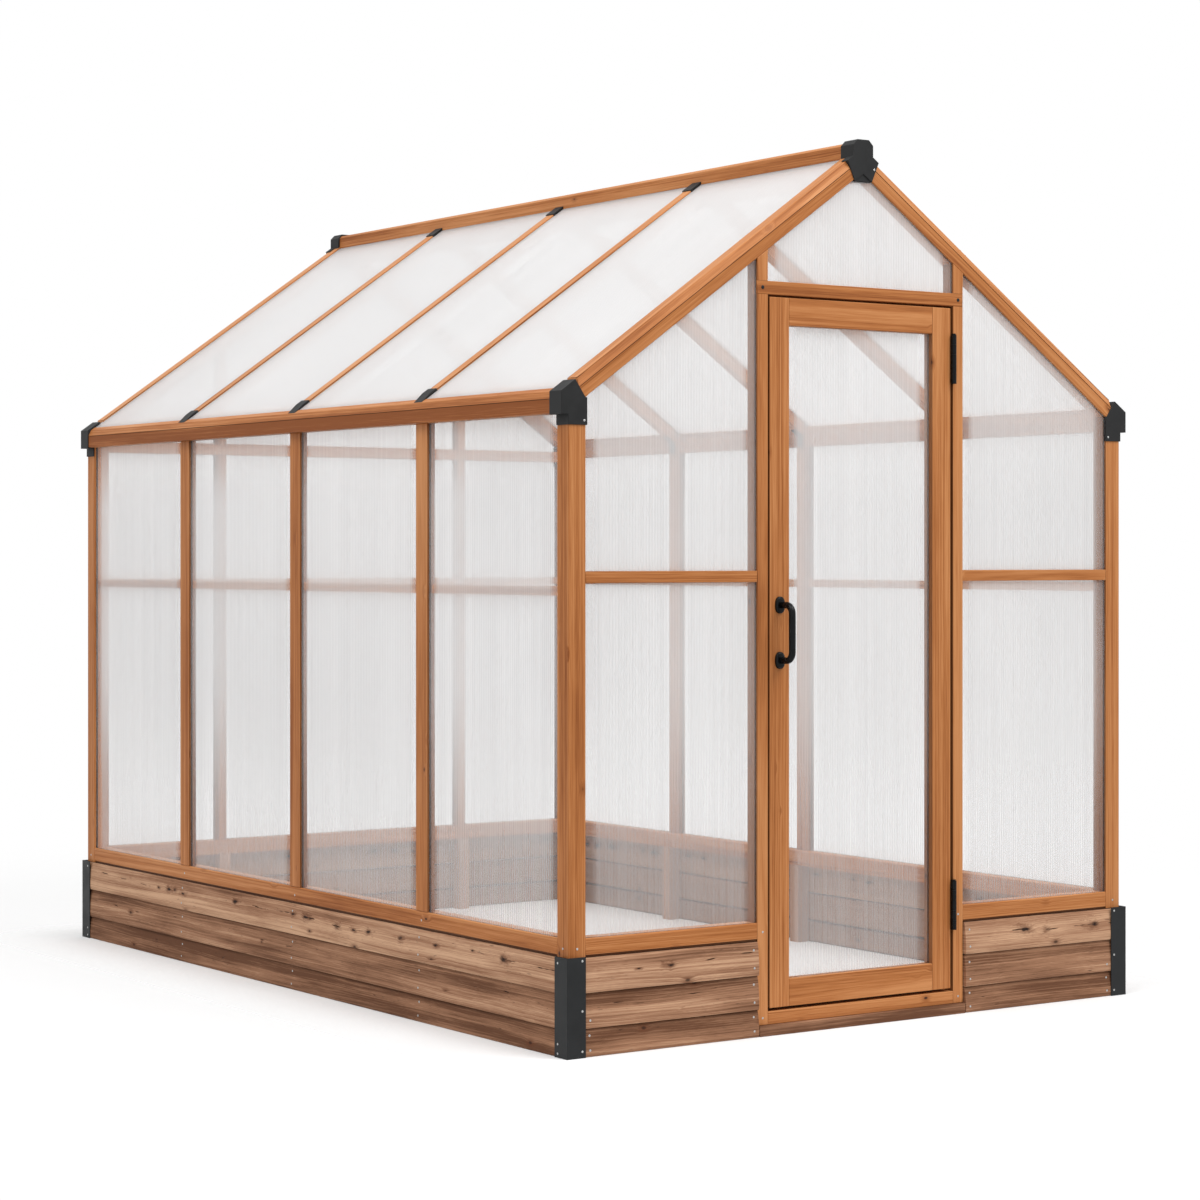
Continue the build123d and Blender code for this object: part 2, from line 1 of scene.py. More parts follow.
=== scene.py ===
"""Looks of a gable greenhouse: timber frame on a plank base, twin-wall sheets and one hinged door.

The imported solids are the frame. Timber, mouldings and metalwork are welded copies of them with eased
edges. Planks, sheets, handle, screws and floor are surfaces worked out on grids of points.
"""
import json
from math import cos, pi, radians, sin

import bmesh
import bpy
import numpy as np
from bpy.props import FloatProperty, FloatVectorProperty, IntProperty, PointerProperty
from bpy.types import NodeSocket, Operator, Panel, PropertyGroup
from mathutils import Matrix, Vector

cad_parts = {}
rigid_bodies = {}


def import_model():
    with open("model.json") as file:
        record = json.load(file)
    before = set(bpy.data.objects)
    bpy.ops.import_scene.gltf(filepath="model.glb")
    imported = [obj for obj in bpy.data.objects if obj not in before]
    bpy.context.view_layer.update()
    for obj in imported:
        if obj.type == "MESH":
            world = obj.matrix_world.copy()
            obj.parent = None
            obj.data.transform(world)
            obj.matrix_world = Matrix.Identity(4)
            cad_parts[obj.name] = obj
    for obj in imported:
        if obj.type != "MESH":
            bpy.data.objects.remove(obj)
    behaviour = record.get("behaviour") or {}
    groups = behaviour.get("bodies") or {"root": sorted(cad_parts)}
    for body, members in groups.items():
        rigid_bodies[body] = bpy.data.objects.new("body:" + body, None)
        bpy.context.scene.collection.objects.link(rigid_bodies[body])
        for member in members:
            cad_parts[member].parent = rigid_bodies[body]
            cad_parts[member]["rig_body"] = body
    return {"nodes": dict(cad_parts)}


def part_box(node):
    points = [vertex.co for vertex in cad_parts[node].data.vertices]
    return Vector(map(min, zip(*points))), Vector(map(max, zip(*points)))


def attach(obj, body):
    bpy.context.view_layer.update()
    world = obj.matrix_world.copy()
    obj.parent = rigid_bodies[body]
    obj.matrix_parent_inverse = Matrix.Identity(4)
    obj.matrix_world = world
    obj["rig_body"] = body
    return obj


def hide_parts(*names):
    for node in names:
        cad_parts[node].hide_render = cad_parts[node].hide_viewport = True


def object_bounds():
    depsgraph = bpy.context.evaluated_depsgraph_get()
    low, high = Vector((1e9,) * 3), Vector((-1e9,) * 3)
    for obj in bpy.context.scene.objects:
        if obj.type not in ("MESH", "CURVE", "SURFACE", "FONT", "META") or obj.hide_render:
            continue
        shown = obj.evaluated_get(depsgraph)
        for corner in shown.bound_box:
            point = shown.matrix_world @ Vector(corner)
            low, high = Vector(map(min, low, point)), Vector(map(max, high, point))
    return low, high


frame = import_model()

bl_info = {
    "name": "Wooden Greenhouse",
    "version": (1, 0, 0),
    "blender": (4, 5, 0),
    "location": "View3D > Sidebar > Greenhouse",
    "description": "Dresses the greenhouse's solids with timber, sheets, mouldings and screws",
    "category": "Object",
}

cad_box = [list(corner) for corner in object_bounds()]

roof_pitch = radians(35.0)
weld_distance = 1e-5
touching = 10 * weld_distance
flat_angle = radians(0.5)
sharp_cosine = cos(radians(30.0))

# Roundings of edges, each with the shortest edge that gets it
moulding_edge = (0.0012, 0.004)
metal_edge = (0.0006, 0.002)

# Planks, bottom course first
course_tones = (-2.4, -1.3, 0.9)
course_rarity = (1.1, 0.7, 0.1)             # how seldom a course splits
knotted_course = 2                          # has knots along its line of splits
far_off = 9.0                               # takes the other courses' line away from such knots
course_gap = 0.001                          # above and below each plank
plank_step = 0.007                          # between the rings of a plank

# Handle, and the dark strip of painted shade under the door
bar_width = 0.018
bar_bend = 0.022
foot_height = 0.043
foot_rise = 0.008
gap_shade_end = 0.012                            # from the outer sides of the door stops

# Screws and bolts, from the edges of what they hold
plank_rows = (0.24, 0.76)                   # shares of a plank's height
plank_end = 0.015
back_stud_half = 0.015
angle_leg = 0.055
beside_angle = 0.014
angle_side_line = 0.041
angle_side_levels = (0.010, 0.033, 0.228)
angle_front_line = 0.0445
angle_front_levels = (0.016, 0.113, 0.234)
post_foot = 0.022
door_post_levels = (0.045, 0.262)
header_end = 0.017
eave_plate = (0.067, 0.011)                 # aside and up
ridge_arm = (0.036, 0.034)                  # aside and up

# Lamps and floor
lamp_size = 5.0
lamp_target = (0.0, 0.0, 1.0)
key_place = (2.0, -6.0, 8.5)
side_place = (-5.5, -2.0, 8.0)
side_share = 0.6                            # of the key lamp's power
contact_reach = 0.3                         # how far the base's deep shade goes
floor_fade = (2.0, 4.5)                     # where the floor thins out, from the part's middle


# Helpers for meshes

def box(node):
    """Lowest and highest corner of a solid, as arrays."""
    low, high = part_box(node)
    return np.array(low), np.array(high)


def body_of(node):
    """The body that carries a node."""
    return frame["nodes"][node]["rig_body"]


def read(collection, field, kind, width):
    """One field of a mesh's points, edges or faces as an array with a row for each."""
    values = np.empty(len(collection) * width, kind)
    collection.foreach_get(field, values)
    return values.reshape(-1, width) if width > 1 else values


def points_of(mesh):
    """Places of a mesh's points."""
    return read(mesh.vertices, "co", np.float32, 3)


def facing_of(mesh):
    """Directions and middles of a mesh's faces."""
    return read(mesh.polygons, "normal", np.float32, 3), read(mesh.polygons, "center", np.float32, 3)


def smooth(mesh):
    """Shades a mesh's faces as one surface."""
    mesh.polygons.foreach_set("use_smooth", np.ones(len(mesh.polygons), bool))


def store(mesh, name, values, domain="POINT"):
    """Keeps an array on the mesh as an attribute of one number or three."""
    values = np.asarray(values, np.float32)
    kind = "FLOAT_VECTOR" if values.ndim == 2 else "FLOAT"
    layer = mesh.attributes.new(name, kind, domain)
    layer.data.foreach_set("vector" if values.ndim == 2 else "value", values.ravel())


def put(name, mesh, body, finish, nodes=()):
    """Links a mesh as a piece with its finish, on a body, in place of the named solids."""
    piece = bpy.data.objects.new(name, mesh)
    bpy.context.scene.collection.objects.link(piece)
    mesh.materials.clear()
    mesh.materials.append(finish)
    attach(piece, body)
    if nodes:
        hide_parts(*nodes)
    return piece


def paint(node, finish):
    """Gives a finish to a solid that stays as it is."""
    slots = frame["nodes"][node].data.materials
    slots.clear()
    slots.append(finish)


def welded(node, run=None):
    """A copy of a solid's mesh, its loose triangles joined and flat neighbours made one face.

    With a run, the copy is cut across at every step along it and the seams that slant over a flat face
    are taken out, so a face with a groove in it becomes plain rectangles.
    """
    joint = bmesh.new()
    joint.from_mesh(frame["nodes"][node].data)
    bmesh.ops.remove_doubles(joint, verts=joint.verts, dist=weld_distance)
    bmesh.ops.dissolve_limit(joint, angle_limit=flat_angle, verts=joint.verts, edges=joint.edges)
    if run is not None:
        places = points_of(frame["nodes"][node].data) @ run
        for step in np.unique(np.round(places, 4))[1:-1]:
            everything = joint.verts[:] + joint.edges[:] + joint.faces[:]
            bmesh.ops.bisect_plane(joint, geom=everything, dist=weld_distance, plane_co=run * step,
                                   plane_no=run)
        slanting = [edge for edge in joint.edges if edge.calc_face_angle(pi) < flat_angle
                    and abs((edge.verts[1].co - edge.verts[0].co).dot(run)) > touching]
        bmesh.ops.dissolve_edges(joint, edges=slanting)
    mesh = bpy.data.meshes.new(node + "_mesh")
    joint.to_mesh(mesh)
    joint.free()
    normals = mesh.attributes.get("custom_normal")
    if normals:
        mesh.attributes.remove(normals)
    return mesh


def solids_in(mesh):
    """Number of the separate solid that each point belongs to.

    Both ends of every edge take the lower of their two numbers, again and again, until none changes.
    """
    edges = read(mesh.edges, "vertices", np.int32, 2)
    number = np.arange(len(mesh.vertices))
    while True:
        lower = number.copy()
        np.minimum.at(lower, edges[:, 0], number[edges[:, 1]])
        np.minimum.at(lower, edges[:, 1], number[edges[:, 0]])
        lower = lower[lower]
        if np.array_equal(lower, number):
            return np.unique(number, return_inverse=True)[1]
        number = lower


def solids_of(node):
    """A node's points, and the number of the separate solid that each belongs to."""
    mesh = welded(node)
    points, number = points_of(mesh).astype(float), solids_in(mesh)
    bpy.data.meshes.remove(mesh)
    return points, number


def outer_faces(mesh):
    """Whether each face lies on the outside of its own solid, with none of its points beyond."""
    points = points_of(mesh)
    number = solids_in(mesh)
    normals, centres = facing_of(mesh)
    first = read(mesh.loops, "vertex_index", np.int32, 1)[read(mesh.polygons, "loop_start", np.int32, 1)]
    beyond = normals @ points.T - (normals * centres).sum(1)[:, None]
    same = number[first][:, None] == number[None, :]
    return np.where(same, beyond, -1.0).max(1) < touching


def ease_edges(piece, width, shortest, only_outer=False):
    """Rounds a piece's outward edges with a bevel and keeps its inward corners crisp.

    An edge is eased where its two faces turn away from each other by more than a set angle and it is
    long enough to hold the rounding; if asked, only between two faces on the outside of the solid.
    """
    mesh = piece.data
    points = points_of(mesh)
    edges = read(mesh.edges, "vertices", np.int32, 2)
    normals, centres = facing_of(mesh)
    sides = read(mesh.polygons, "loop_total", np.int32, 1)
    face = np.repeat(np.arange(len(sides)), sides)
    edge = read(mesh.loops, "edge_index", np.int32, 1)
    order = np.argsort(edge, kind="stable")
    count = np.bincount(edge, minlength=len(edges))
    start = np.cumsum(count) - count
    shared = np.flatnonzero(count == 2)
    one, two = face[order[start[shared]]], face[order[start[shared] + 1]]
    turned = (normals[one] * normals[two]).sum(1) < sharp_cosine
    outward = ((centres[two] - centres[one]) * normals[one]).sum(1) < 0
    length = np.linalg.norm(points[edges[:, 0]] - points[edges[:, 1]], axis=1)[shared]
    eased = turned & outward & (length > shortest)
    if only_outer:
        outer = outer_faces(mesh)
        eased &= outer[one] & outer[two]
    weights = np.zeros(len(edges))
    weights[shared] = eased
    sharp = np.ones(len(edges), bool)
    sharp[shared] = turned & ~eased
    store(mesh, "bevel_weight_edge", weights, "EDGE")
    mesh.attributes.new("sharp_edge", "BOOLEAN", "EDGE").data.foreach_set("value", sharp)
    smooth(mesh)
    rounding = piece.modifiers.new("eased_edges", "BEVEL")
    rounding.limit_method = "WEIGHT"
    rounding.width = width
    rounding.segments = 2
    rounding.use_clamp_overlap = False
    rounding.loop_slide = False
    rounding.harden_normals = True


def loops_of(points):
    """Faces of a closed tube: a grid of rings whose cells are quads, with a lid on each end."""
    rings, count = points.shape[:2]
    index = np.arange(rings * count).reshape(rings, count)
    following = np.roll(index, -1, axis=1)
    quads = np.stack([index[:-1], following[:-1], following[1:], index[1:]], axis=-1).reshape(-1, 4)
    return quads.tolist() + [index[0, ::-1].tolist(), index[-1].tolist()]


def tubes_mesh(name, tubes, notes=()):
    """One mesh of several closed tubes, each an array of rings, with noted arrays for its points."""
    points, faces, start = [], [], 0
    for tube in tubes:
        faces += [[start + corner for corner in face] for face in loops_of(tube)]
        points.append(tube.reshape(-1, 3))
        start += len(points[-1])
    mesh = bpy.data.meshes.new(name + "_mesh")
    mesh.from_pydata(np.concatenate(points), [], faces)
    for note, values in notes:
        store(mesh, note, np.concatenate(values))
    return outward(mesh)


def outward(mesh):
    """Turns every face of closed pieces to the outside."""
    shape = bmesh.new()
    shape.from_mesh(mesh)
    bmesh.ops.recalc_face_normals(shape, faces=shape.faces)
    shape.to_mesh(mesh)
    shape.free()
    return mesh


# Helpers for finishes

class Finish:
    """A material under construction: short names for the nodes that the finishes below share."""

    def __init__(self, name):
        self.material = bpy.data.materials.new(name)
        self.material.use_nodes = True
        self.tree = self.material.node_tree
        self.shader = self.tree.nodes["Principled BSDF"]
        self.surface = self.tree.nodes["Material Output"].inputs["Surface"]

    def feed(self, socket, value):
        """Links a socket, or sets it."""
        if isinstance(value, NodeSocket):
            self.tree.links.new(value, socket)
        else:
            socket.default_value = value

    def node(self, kind, inputs=None, **settings):
        """A node of a kind with its settings and inputs."""
        made = self.tree.nodes.new("ShaderNode" + kind)
        for name, value in settings.items():
            setattr(made, name, value)
        for name, value in (inputs or {}).items():
            self.feed(made.inputs[name], value)
        return made

    def attribute(self, name, output="Vector"):
        """A value kept on the piece's own mesh."""
        return self.node("Attribute", attribute_name=name).outputs[output]

    def object_place(self):
        """Where a point lies in the shared frame, in metres."""
        return self.node("TexCoord").outputs["Object"]

    def sums(self, operation, first, second=0.0):
        """One step of arithmetic."""
        return self.node("Math", {0: first, 1: second}, operation=operation).outputs[0]

    def add(self, first, second):
        """Sum of two values."""
        return self.sums("ADD", first, second)

    def times(self, first, second):
        """Product of two values."""
        return self.sums("MULTIPLY", first, second)

    def less(self, first, second):
        """First value less the second."""
        return self.sums("SUBTRACT", first, second)

    def larger(self, first, second):
        """The larger of two values."""
        return self.sums("MAXIMUM", first, second)

    def stretch(self, vector, factors):
        """A place with each of its three measures scaled."""
        return self.node("VectorMath", {0: vector, 1: factors}, operation="MULTIPLY").outputs[0]

    def minus(self, vector, other):
        """Difference of two places."""
        return self.node("VectorMath", {0: vector, 1: other}, operation="SUBTRACT").outputs[0]

    def length(self, vector):
        """Length of a vector."""
        return self.node("VectorMath", {0: vector}, operation="LENGTH").outputs["Value"]

    def split(self, vector):
        """The three measures of a place."""
        return self.node("SeparateXYZ", {0: vector}).outputs

    def joined(self, x, y, z=0.0):
        """A place from three measures."""
        return self.node("CombineXYZ", {0: x, 1: y, 2: z}).outputs[0]

    def noise(self, vector, detail=2.0, roughness=0.5, scale=1.0):
        """Soft random value, about a half on average."""
        inputs = {"Vector": vector, "Scale": scale, "Detail": detail, "Roughness": roughness}
        return self.node("TexNoise", inputs).outputs[0]

    def fade(self, value, low, high, bottom=0.0, top=1.0):
        """A smooth step from bottom to top while value goes from low to high."""
        inputs = {"Value": value, "From Min": low, "From Max": high, "To Min": bottom, "To Max": top}
        return self.node("MapRange", inputs, interpolation_type="SMOOTHSTEP").outputs[0]

    def ramp(self, value, stops):
        """Colours set at places along a value."""
        made = self.node("ValToRGB", {0: value})
        bar = made.color_ramp.elements
        while len(bar) < len(stops):
            bar.new(0.5)
        for stop, (place, colour) in zip(bar, stops):
            stop.position = place
            stop.color = (*colour[:3], 1.0)
        return made.outputs["Color"]

    def blend(self, share, first, second):
        """A colour that gives way to a plain one by a share."""
        return self.node("Mix", {0: share, 6: first, 7: (*second, 1.0)}, data_type="RGBA").outputs[2]

    def coat(self, colour, roughness, specular=0.5):
        """The shader's colour, its roughness and the strength of its reflections."""
        named = {"Base Color": colour, "Roughness": roughness, "Specular IOR Level": specular}
        for name, value in named.items():
            self.feed(self.shader.inputs[name], value)

    def relief(self, height, strength, distance):
        """A bump on the shader's normal."""
        inputs = {"Height": height, "Strength": strength, "Distance": distance}
        self.feed(self.shader.inputs["Normal"], self.node("Bump", inputs).outputs["Normal"])

    def knots(self, place, spacing, size):
        """Marks of scattered knots: one near the middle of each random cell.

        Cells are scaled so that one is spacing long; the distance to a cell's point is measured in
        metres with its height stretched, so a knot is a lengthwise oval. A cell's colour makes some
        cells bare.
        """
        cells = tuple(1 / step for step in spacing)
        scaled = self.stretch(place, cells)
        web = self.node("TexVoronoi", {"Vector": scaled, "Scale": 1.0}, voronoi_dimensions="3D")
        away = self.stretch(self.minus(scaled, web.outputs["Position"]), spacing)
        near = self.length(self.stretch(away, (1.0, 1.9, 1.9)))
        chance = self.split(web.outputs["Color"])[0]
        grown = self.times(self.fade(chance, 0.35, 0.75), size)
        return self.knot_marks(near, grown)

    def strung_knots(self, along, aside, spacing, size):
        """Marks of knots strung on a line: one in each random stretch of it.

        A knot's distance is bent by a ragged noise, and its marks fade out towards the stretch's ends.
        """
        scaled = self.times(along, 1 / spacing)
        web = self.node("TexVoronoi", {"W": scaled, "Scale": 1.0}, voronoi_dimensions="1D")
        away = self.times(self.less(scaled, web.outputs["W"]), spacing)
        ragged = self.noise(self.joined(self.times(along, 45.0), self.times(aside, 110.0)), 2.0)
        near = self.length(self.joined(self.times(away, 0.6), self.times(aside, 1.9)))
        near = self.times(near, self.fade(ragged, 0.3, 0.7, 0.65, 1.4))
        chance = self.split(web.outputs["Color"])[0]
        core, halo, swirl = self.knot_marks(near, self.times(self.fade(chance, 0.25, 1.1), size))
        edge = self.node("TexVoronoi", {"W": scaled, "Scale": 1.0}, voronoi_dimensions="1D",
                         feature="DISTANCE_TO_EDGE")
        inside = self.fade(edge.outputs["Distance"], 0.0, 0.3)
        return self.times(core, inside), self.times(halo, inside), self.times(swirl, inside)

    def knot_marks(self, near, grown):
        """A knot's core, the stain round it and the swirl of the grain, from the distance and its size."""
        reach = self.sums("DIVIDE", near, self.add(grown, 1e-4))
        return (self.fade(reach, 1.2, 0.4), self.fade(reach, 3.4, 0.6),
                self.times(self.fade(reach, 4.5, 0.0), grown))

    def looks_up(self):
        """How far a face looks up: 1 for a floor, 0 for a wall, -1 for a ceiling."""
        return self.split(self.node("NewGeometry").outputs["Normal"])[2]


# Sizes and colours that a user would change

def colour(name, note, value):
    """A colour property."""
    return FloatVectorProperty(name=name, description=note, default=value, size=3, min=0.0, max=1.0,
                               subtype="COLOR")


def length(name, note, value):
    """A length property."""
    return FloatProperty(name=name, description=note, default=value, min=0.0, unit="LENGTH",
                         precision=4)


def share(name, note, value):
    """A property between none and all."""
    return FloatProperty(name=name, description=note, default=value, min=0.0, max=1.0, subtype="FACTOR")


class GreenhouseTimber(PropertyGroup):
    """Stained frame timber."""

    arris: length("Arris", "Rounding of the planed edges", 0.0018)
    ring_spacing: length("Ring Spacing", "Between growth rings", 0.0034)
    light: colour("Light Stain", "Between the rings", (0.56, 0.240, 0.088))
    middle: colour("Middle Stain", "Common tone", (0.42, 0.150, 0.042))
    dark: colour("Dark Stain", "On the rings", (0.24, 0.070, 0.016))
    # the knot colour also paints the shade in grooves and beside the sheets
    knot: colour("Knot", "Heart of a knot and depth of a groove", (0.045, 0.014, 0.006))
    seed: IntProperty(name="Seed", description="Choice of boards", default=7)


class GreenhousePlanks(PropertyGroup):
    """Weathered planks of the base."""

    bottom_course: length("Bottom Course", "Height of the lowest plank", 0.068)
    crown: length("Crown", "How far a plank's upper edge falls back from its face", 0.009)
    back_bevel: length("Back Bevel", "Of the edges on a plank's inner side", 0.005)
    split_depth: length("Split Depth", "Depth of the splits along the planks", 0.003)
    split_width: length("Split Width", "Width of the splits along the planks", 0.004)
    light: colour("Light Wood", "Bleached wood", (0.62, 0.375, 0.230))
    middle: colour("Middle Wood", "Common tone", (0.34, 0.172, 0.096))
    dark: colour("Dark Wood", "Rings and shaded wood", (0.125, 0.052, 0.025))
    knot: colour("Knot", "Heart of a knot", (0.018, 0.007, 0.004))
    halo: colour("Knot Stain", "Round a knot", (0.125, 0.042, 0.017))
    seed: IntProperty(name="Seed", description="Choice of planks", default=21)


class GreenhouseGlazing(PropertyGroup):
    """Twin-wall sheets."""

    rib_pitch: length("Rib Pitch", "Between the sheet's inner ribs", 0.0085)
    flute_depth: length("Flute Depth", "Sag of the skins between ribs", 0.00015)
    end_haze: share("End Haze", "How much of the view one skin of the end walls and door hides", 0.42)
    side_haze: share("Side Haze", "The same in the long walls", 0.62)
    side_clear_from: length("Side Clear From", "Level above which the long walls clear again", 1.34)
    roof_haze: share("Roof Haze", "The same in the roof", 0.74)
    at_border: share("Haze at Borders", "How much of the haze is left beside the uprights", 0.4)
    # painted shade: the roof's sheets keep this share of the sheet colours
    roof_shade: share("Roof Tone", "How pale the roof's sheets are beside the others", 0.99)
    clear: colour("Sheet", "Between the ribs", (0.975, 0.98, 0.985))
    rib: colour("Rib", "On the ribs", (0.66, 0.665, 0.67))


class GreenhouseFittings(PropertyGroup):
    """Mouldings, metalwork, handle and screws."""

    moulding: colour("Moulding", "Moulded connectors", (0.012, 0.0122, 0.0125))
    coating: colour("Coating", "Coated angles, brackets and bolts", (0.010, 0.0108, 0.0115))
    grip: colour("Grip", "Handle and hinges", (0.003, 0.0032, 0.0035))
    zinc: colour("Zinc", "Screws", (0.58, 0.58, 0.57))
    screw_head: length("Screw Head", "Across a screw's head", 0.006)
    bolt_head: length("Bolt Head", "Across the dark bolts of the header", 0.010)
    # the strip is a painted shade: a dark piece in the gap under the door
    gap_shade_height: length("Seal Height", "Of the strip on the sill behind the door", 0.022)


class GreenhouseStage(PropertyGroup):
    """Floor, lamps and camera."""

    lens: FloatProperty(name="Lens", description="Focal length", default=87.3, unit="CAMERA")
    place: FloatVectorProperty(name="Place", description="Camera's place", size=3, unit="LENGTH",
                               default=(-4.816, -7.151, 1.206), subtype="TRANSLATION")
    turn: FloatProperty(name="Turn", description="Camera's heading", default=radians(-34.52),
                        subtype="ANGLE")
    fall: FloatProperty(name="Shift", description="Lowers the frame about the level view",
                        default=-0.0357)
    room: FloatProperty(name="Room Light", description="Level of the even light", default=0.62, min=0.0)
    key: FloatProperty(name="Key Light", description="Power of the large lamp", default=600.0, min=0.0,
                       unit="POWER")
    floor: colour("Floor", "Studio floor", (0.93, 0.93, 0.93))
    shadow: share("Shadow", "How much of the floor's own shading shows round the part", 0.26)
    shade: share("Shade", "How much of it shows inside the base and close to it", 0.85)


# Finishes

def stained_cedar(look):
    """Planed and stained softwood.

    Growth rings are cylinders about the board's heart line: their radius, bent by a slow noise, is
    divided by the ring spacing and read as a noise that changes little along the board. Broad bands,
    fine fibres, scattered small knots and each board's own tone are added to it. Faces that look up are
    painted lighter, a painted top light. The walls of grooves and the sides beside the sheets get a
    painted shade towards the knot colour, and the eave beams' upright faces a painted shade too.
    """
    f = Finish("stained_cedar")
    place = f.attribute("grain")
    along = f.split(place)[0]
    core, halo, swirl = f.knots(place, spacing=(0.42, 0.030, 0.030), size=0.0075)
    wander = f.noise(f.stretch(place, (0.8, 7.0, 7.0)), 2.0)
    radius = f.length(f.stretch(place, (0.0, 1.0, 1.0)))
    bent = f.add(f.add(radius, f.times(wander, 0.016)), swirl)
    ring = f.sums("DIVIDE", bent, look.ring_spacing)
    lines = f.noise(f.joined(ring, f.times(along, 0.9)), 2.0, 0.6)
    bands = f.noise(f.joined(f.times(ring, 0.17), f.times(along, 0.3), 7.0), 1.0)
    fibre = f.noise(f.stretch(place, (11.0, 900.0, 900.0)), 2.0)
    cloud = f.noise(f.stretch(place, (1.4, 14.0, 14.0)), 2.0)
    figure = f.add(f.times(lines, 0.40), f.times(bands, 0.18))
    figure = f.add(f.add(figure, f.times(fibre, 0.28)), f.times(cloud, 0.24))
    figure = f.add(figure, f.times(f.attribute("tone", "Fac"), 0.035))
    # painted top light: faces that look up are made lighter
    figure = f.add(figure, f.fade(f.looks_up(), 0.15, 0.75, 0.0, 0.07))
    # painted shade on the eave beams' upright faces
    figure = f.less(figure, f.times(f.attribute("eave_shade", "Fac"), 0.10))
    stain = f.ramp(figure, [(0.43, look.dark), (0.54, look.middle), (0.66, look.light)])
    stain = f.blend(f.times(halo, 0.6), stain, look.dark)
    stain = f.blend(core, stain, look.knot)
    # painted shade: the walls of grooves and the sides beside the sheets go towards the knot colour
    stain = f.blend(f.times(f.attribute("groove", "Fac"), 0.75), stain, look.knot)
    f.coat(stain, f.fade(figure, 0.35, 0.7, 0.62, 0.46), specular=0.18)
    f.relief(f.add(lines, f.times(fibre, 0.6)), strength=0.35, distance=0.0006)
    return f.material


def weathered_plank(look):
    """Rough-sawn boards with knots and splits.

    The height on the board, bent by a slow noise and by a swirl round each knot, is read as ring lines
    that run along the board. Knots lie in random cells of its face and, on the knotted course, on the
    line of the splits, one in each random stretch. The splits are in the boards' shape and are only
    darkened. A board is darker towards its upper edge, a painted shade under the plank above. Its back,
    where the split's note is negative, is plainer and darker, a painted shade inside the base.
    """
    f = Finish("weathered_plank")
    place = f.attribute("grain")
    along, height, seam = f.split(place)
    split = f.attribute("split", "Fac")
    core, halo, swirl = f.knots(f.joined(along, height), spacing=(0.36, 0.083, 1e-4), size=0.0085)
    strung, strung_halo, strung_swirl = f.strung_knots(along, seam, spacing=0.085, size=0.013)
    wander = f.noise(f.stretch(place, (1.3, 7.0, 7.0)), 2.0)
    bent = f.add(f.add(height, f.times(wander, 0.035)), f.times(f.add(swirl, strung_swirl), 0.7))
    lines = f.noise(f.joined(f.times(bent, 260.0), f.times(along, 1.6)), 3.0, 0.6)
    bands = f.noise(f.joined(f.times(bent, 40.0), f.times(along, 0.9), 3.0), 2.0)
    fibre = f.noise(f.stretch(place, (16.0, 800.0, 800.0)), 2.0)
    cloud = f.noise(f.stretch(place, (3.0, 16.0, 16.0)), 2.0)
    figure = f.add(f.times(lines, 0.36), f.times(bands, 0.30))
    figure = f.add(f.add(figure, f.times(fibre, 0.20)), f.times(cloud, 0.26))
    figure = f.add(figure, f.times(f.attribute("tone", "Fac"), 0.04))
    # painted shade: each plank darker towards its upper edge, under the one above
    figure = f.add(figure, f.fade(f.attribute("level", "Fac"), -0.3, 0.9, 0.015, -0.04))
    wood = f.ramp(figure, [(0.42, look.dark), (0.56, look.middle), (0.70, look.light)])
    # painted shade: the planks' back, inside the base, goes to a plain darker tone
    inside = f.fade(split, -0.2, -0.9, 0.0, 0.75)
    wood = f.blend(inside, wood, tuple(tone * 0.8 for tone in look.middle))
    around = f.larger(f.times(halo, 0.8), strung_halo)
    around = f.times(around, f.fade(figure, 0.40, 0.75, 0.95, 0.6))
    wood = f.blend(around, wood, look.halo)
    dashes = f.fade(f.noise(f.joined(f.times(along, 34.0), f.times(bent, 330.0)), 2.0), 0.63, 0.72)
    allowed = f.fade(f.noise(f.joined(f.times(along, 3.2), f.times(bent, 60.0), 4.0), 1.0), 0.55, 0.66)
    marks = f.larger(f.times(core, 0.75), strung)
    marks = f.larger(marks, f.times(f.times(dashes, allowed), 0.75))
    # darkens the splits, and darkens the planks' edges as a painted shade in the joints
    marks = f.larger(marks, f.fade(split, 0.05, 0.7, 0.0, 0.9))
    f.coat(f.blend(marks, wood, look.knot), f.fade(figure, 0.4, 0.75, 0.82, 0.66), specular=0.2)
    f.relief(f.less(f.add(lines, f.times(fibre, 0.5)), marks), strength=0.5, distance=0.0012)
    return f.material


def inner_batten(look):
    """Plain sawn wood out of sight: long noise along the frame's own axes."""
    f = Finish("inner_batten")
    place = f.object_place()
    streaks = f.noise(f.stretch(place, (90.0, 90.0, 2.5)), 3.0)
    pale = tuple(min(1.0, tone * 1.3) for tone in look.middle)
    f.coat(f.ramp(streaks, [(0.3, look.middle), (0.8, pale)]), f.fade(streaks, 0.3, 0.7, 0.8, 0.62))
    f.relief(streaks, strength=0.4, distance=0.001)
    return f.material


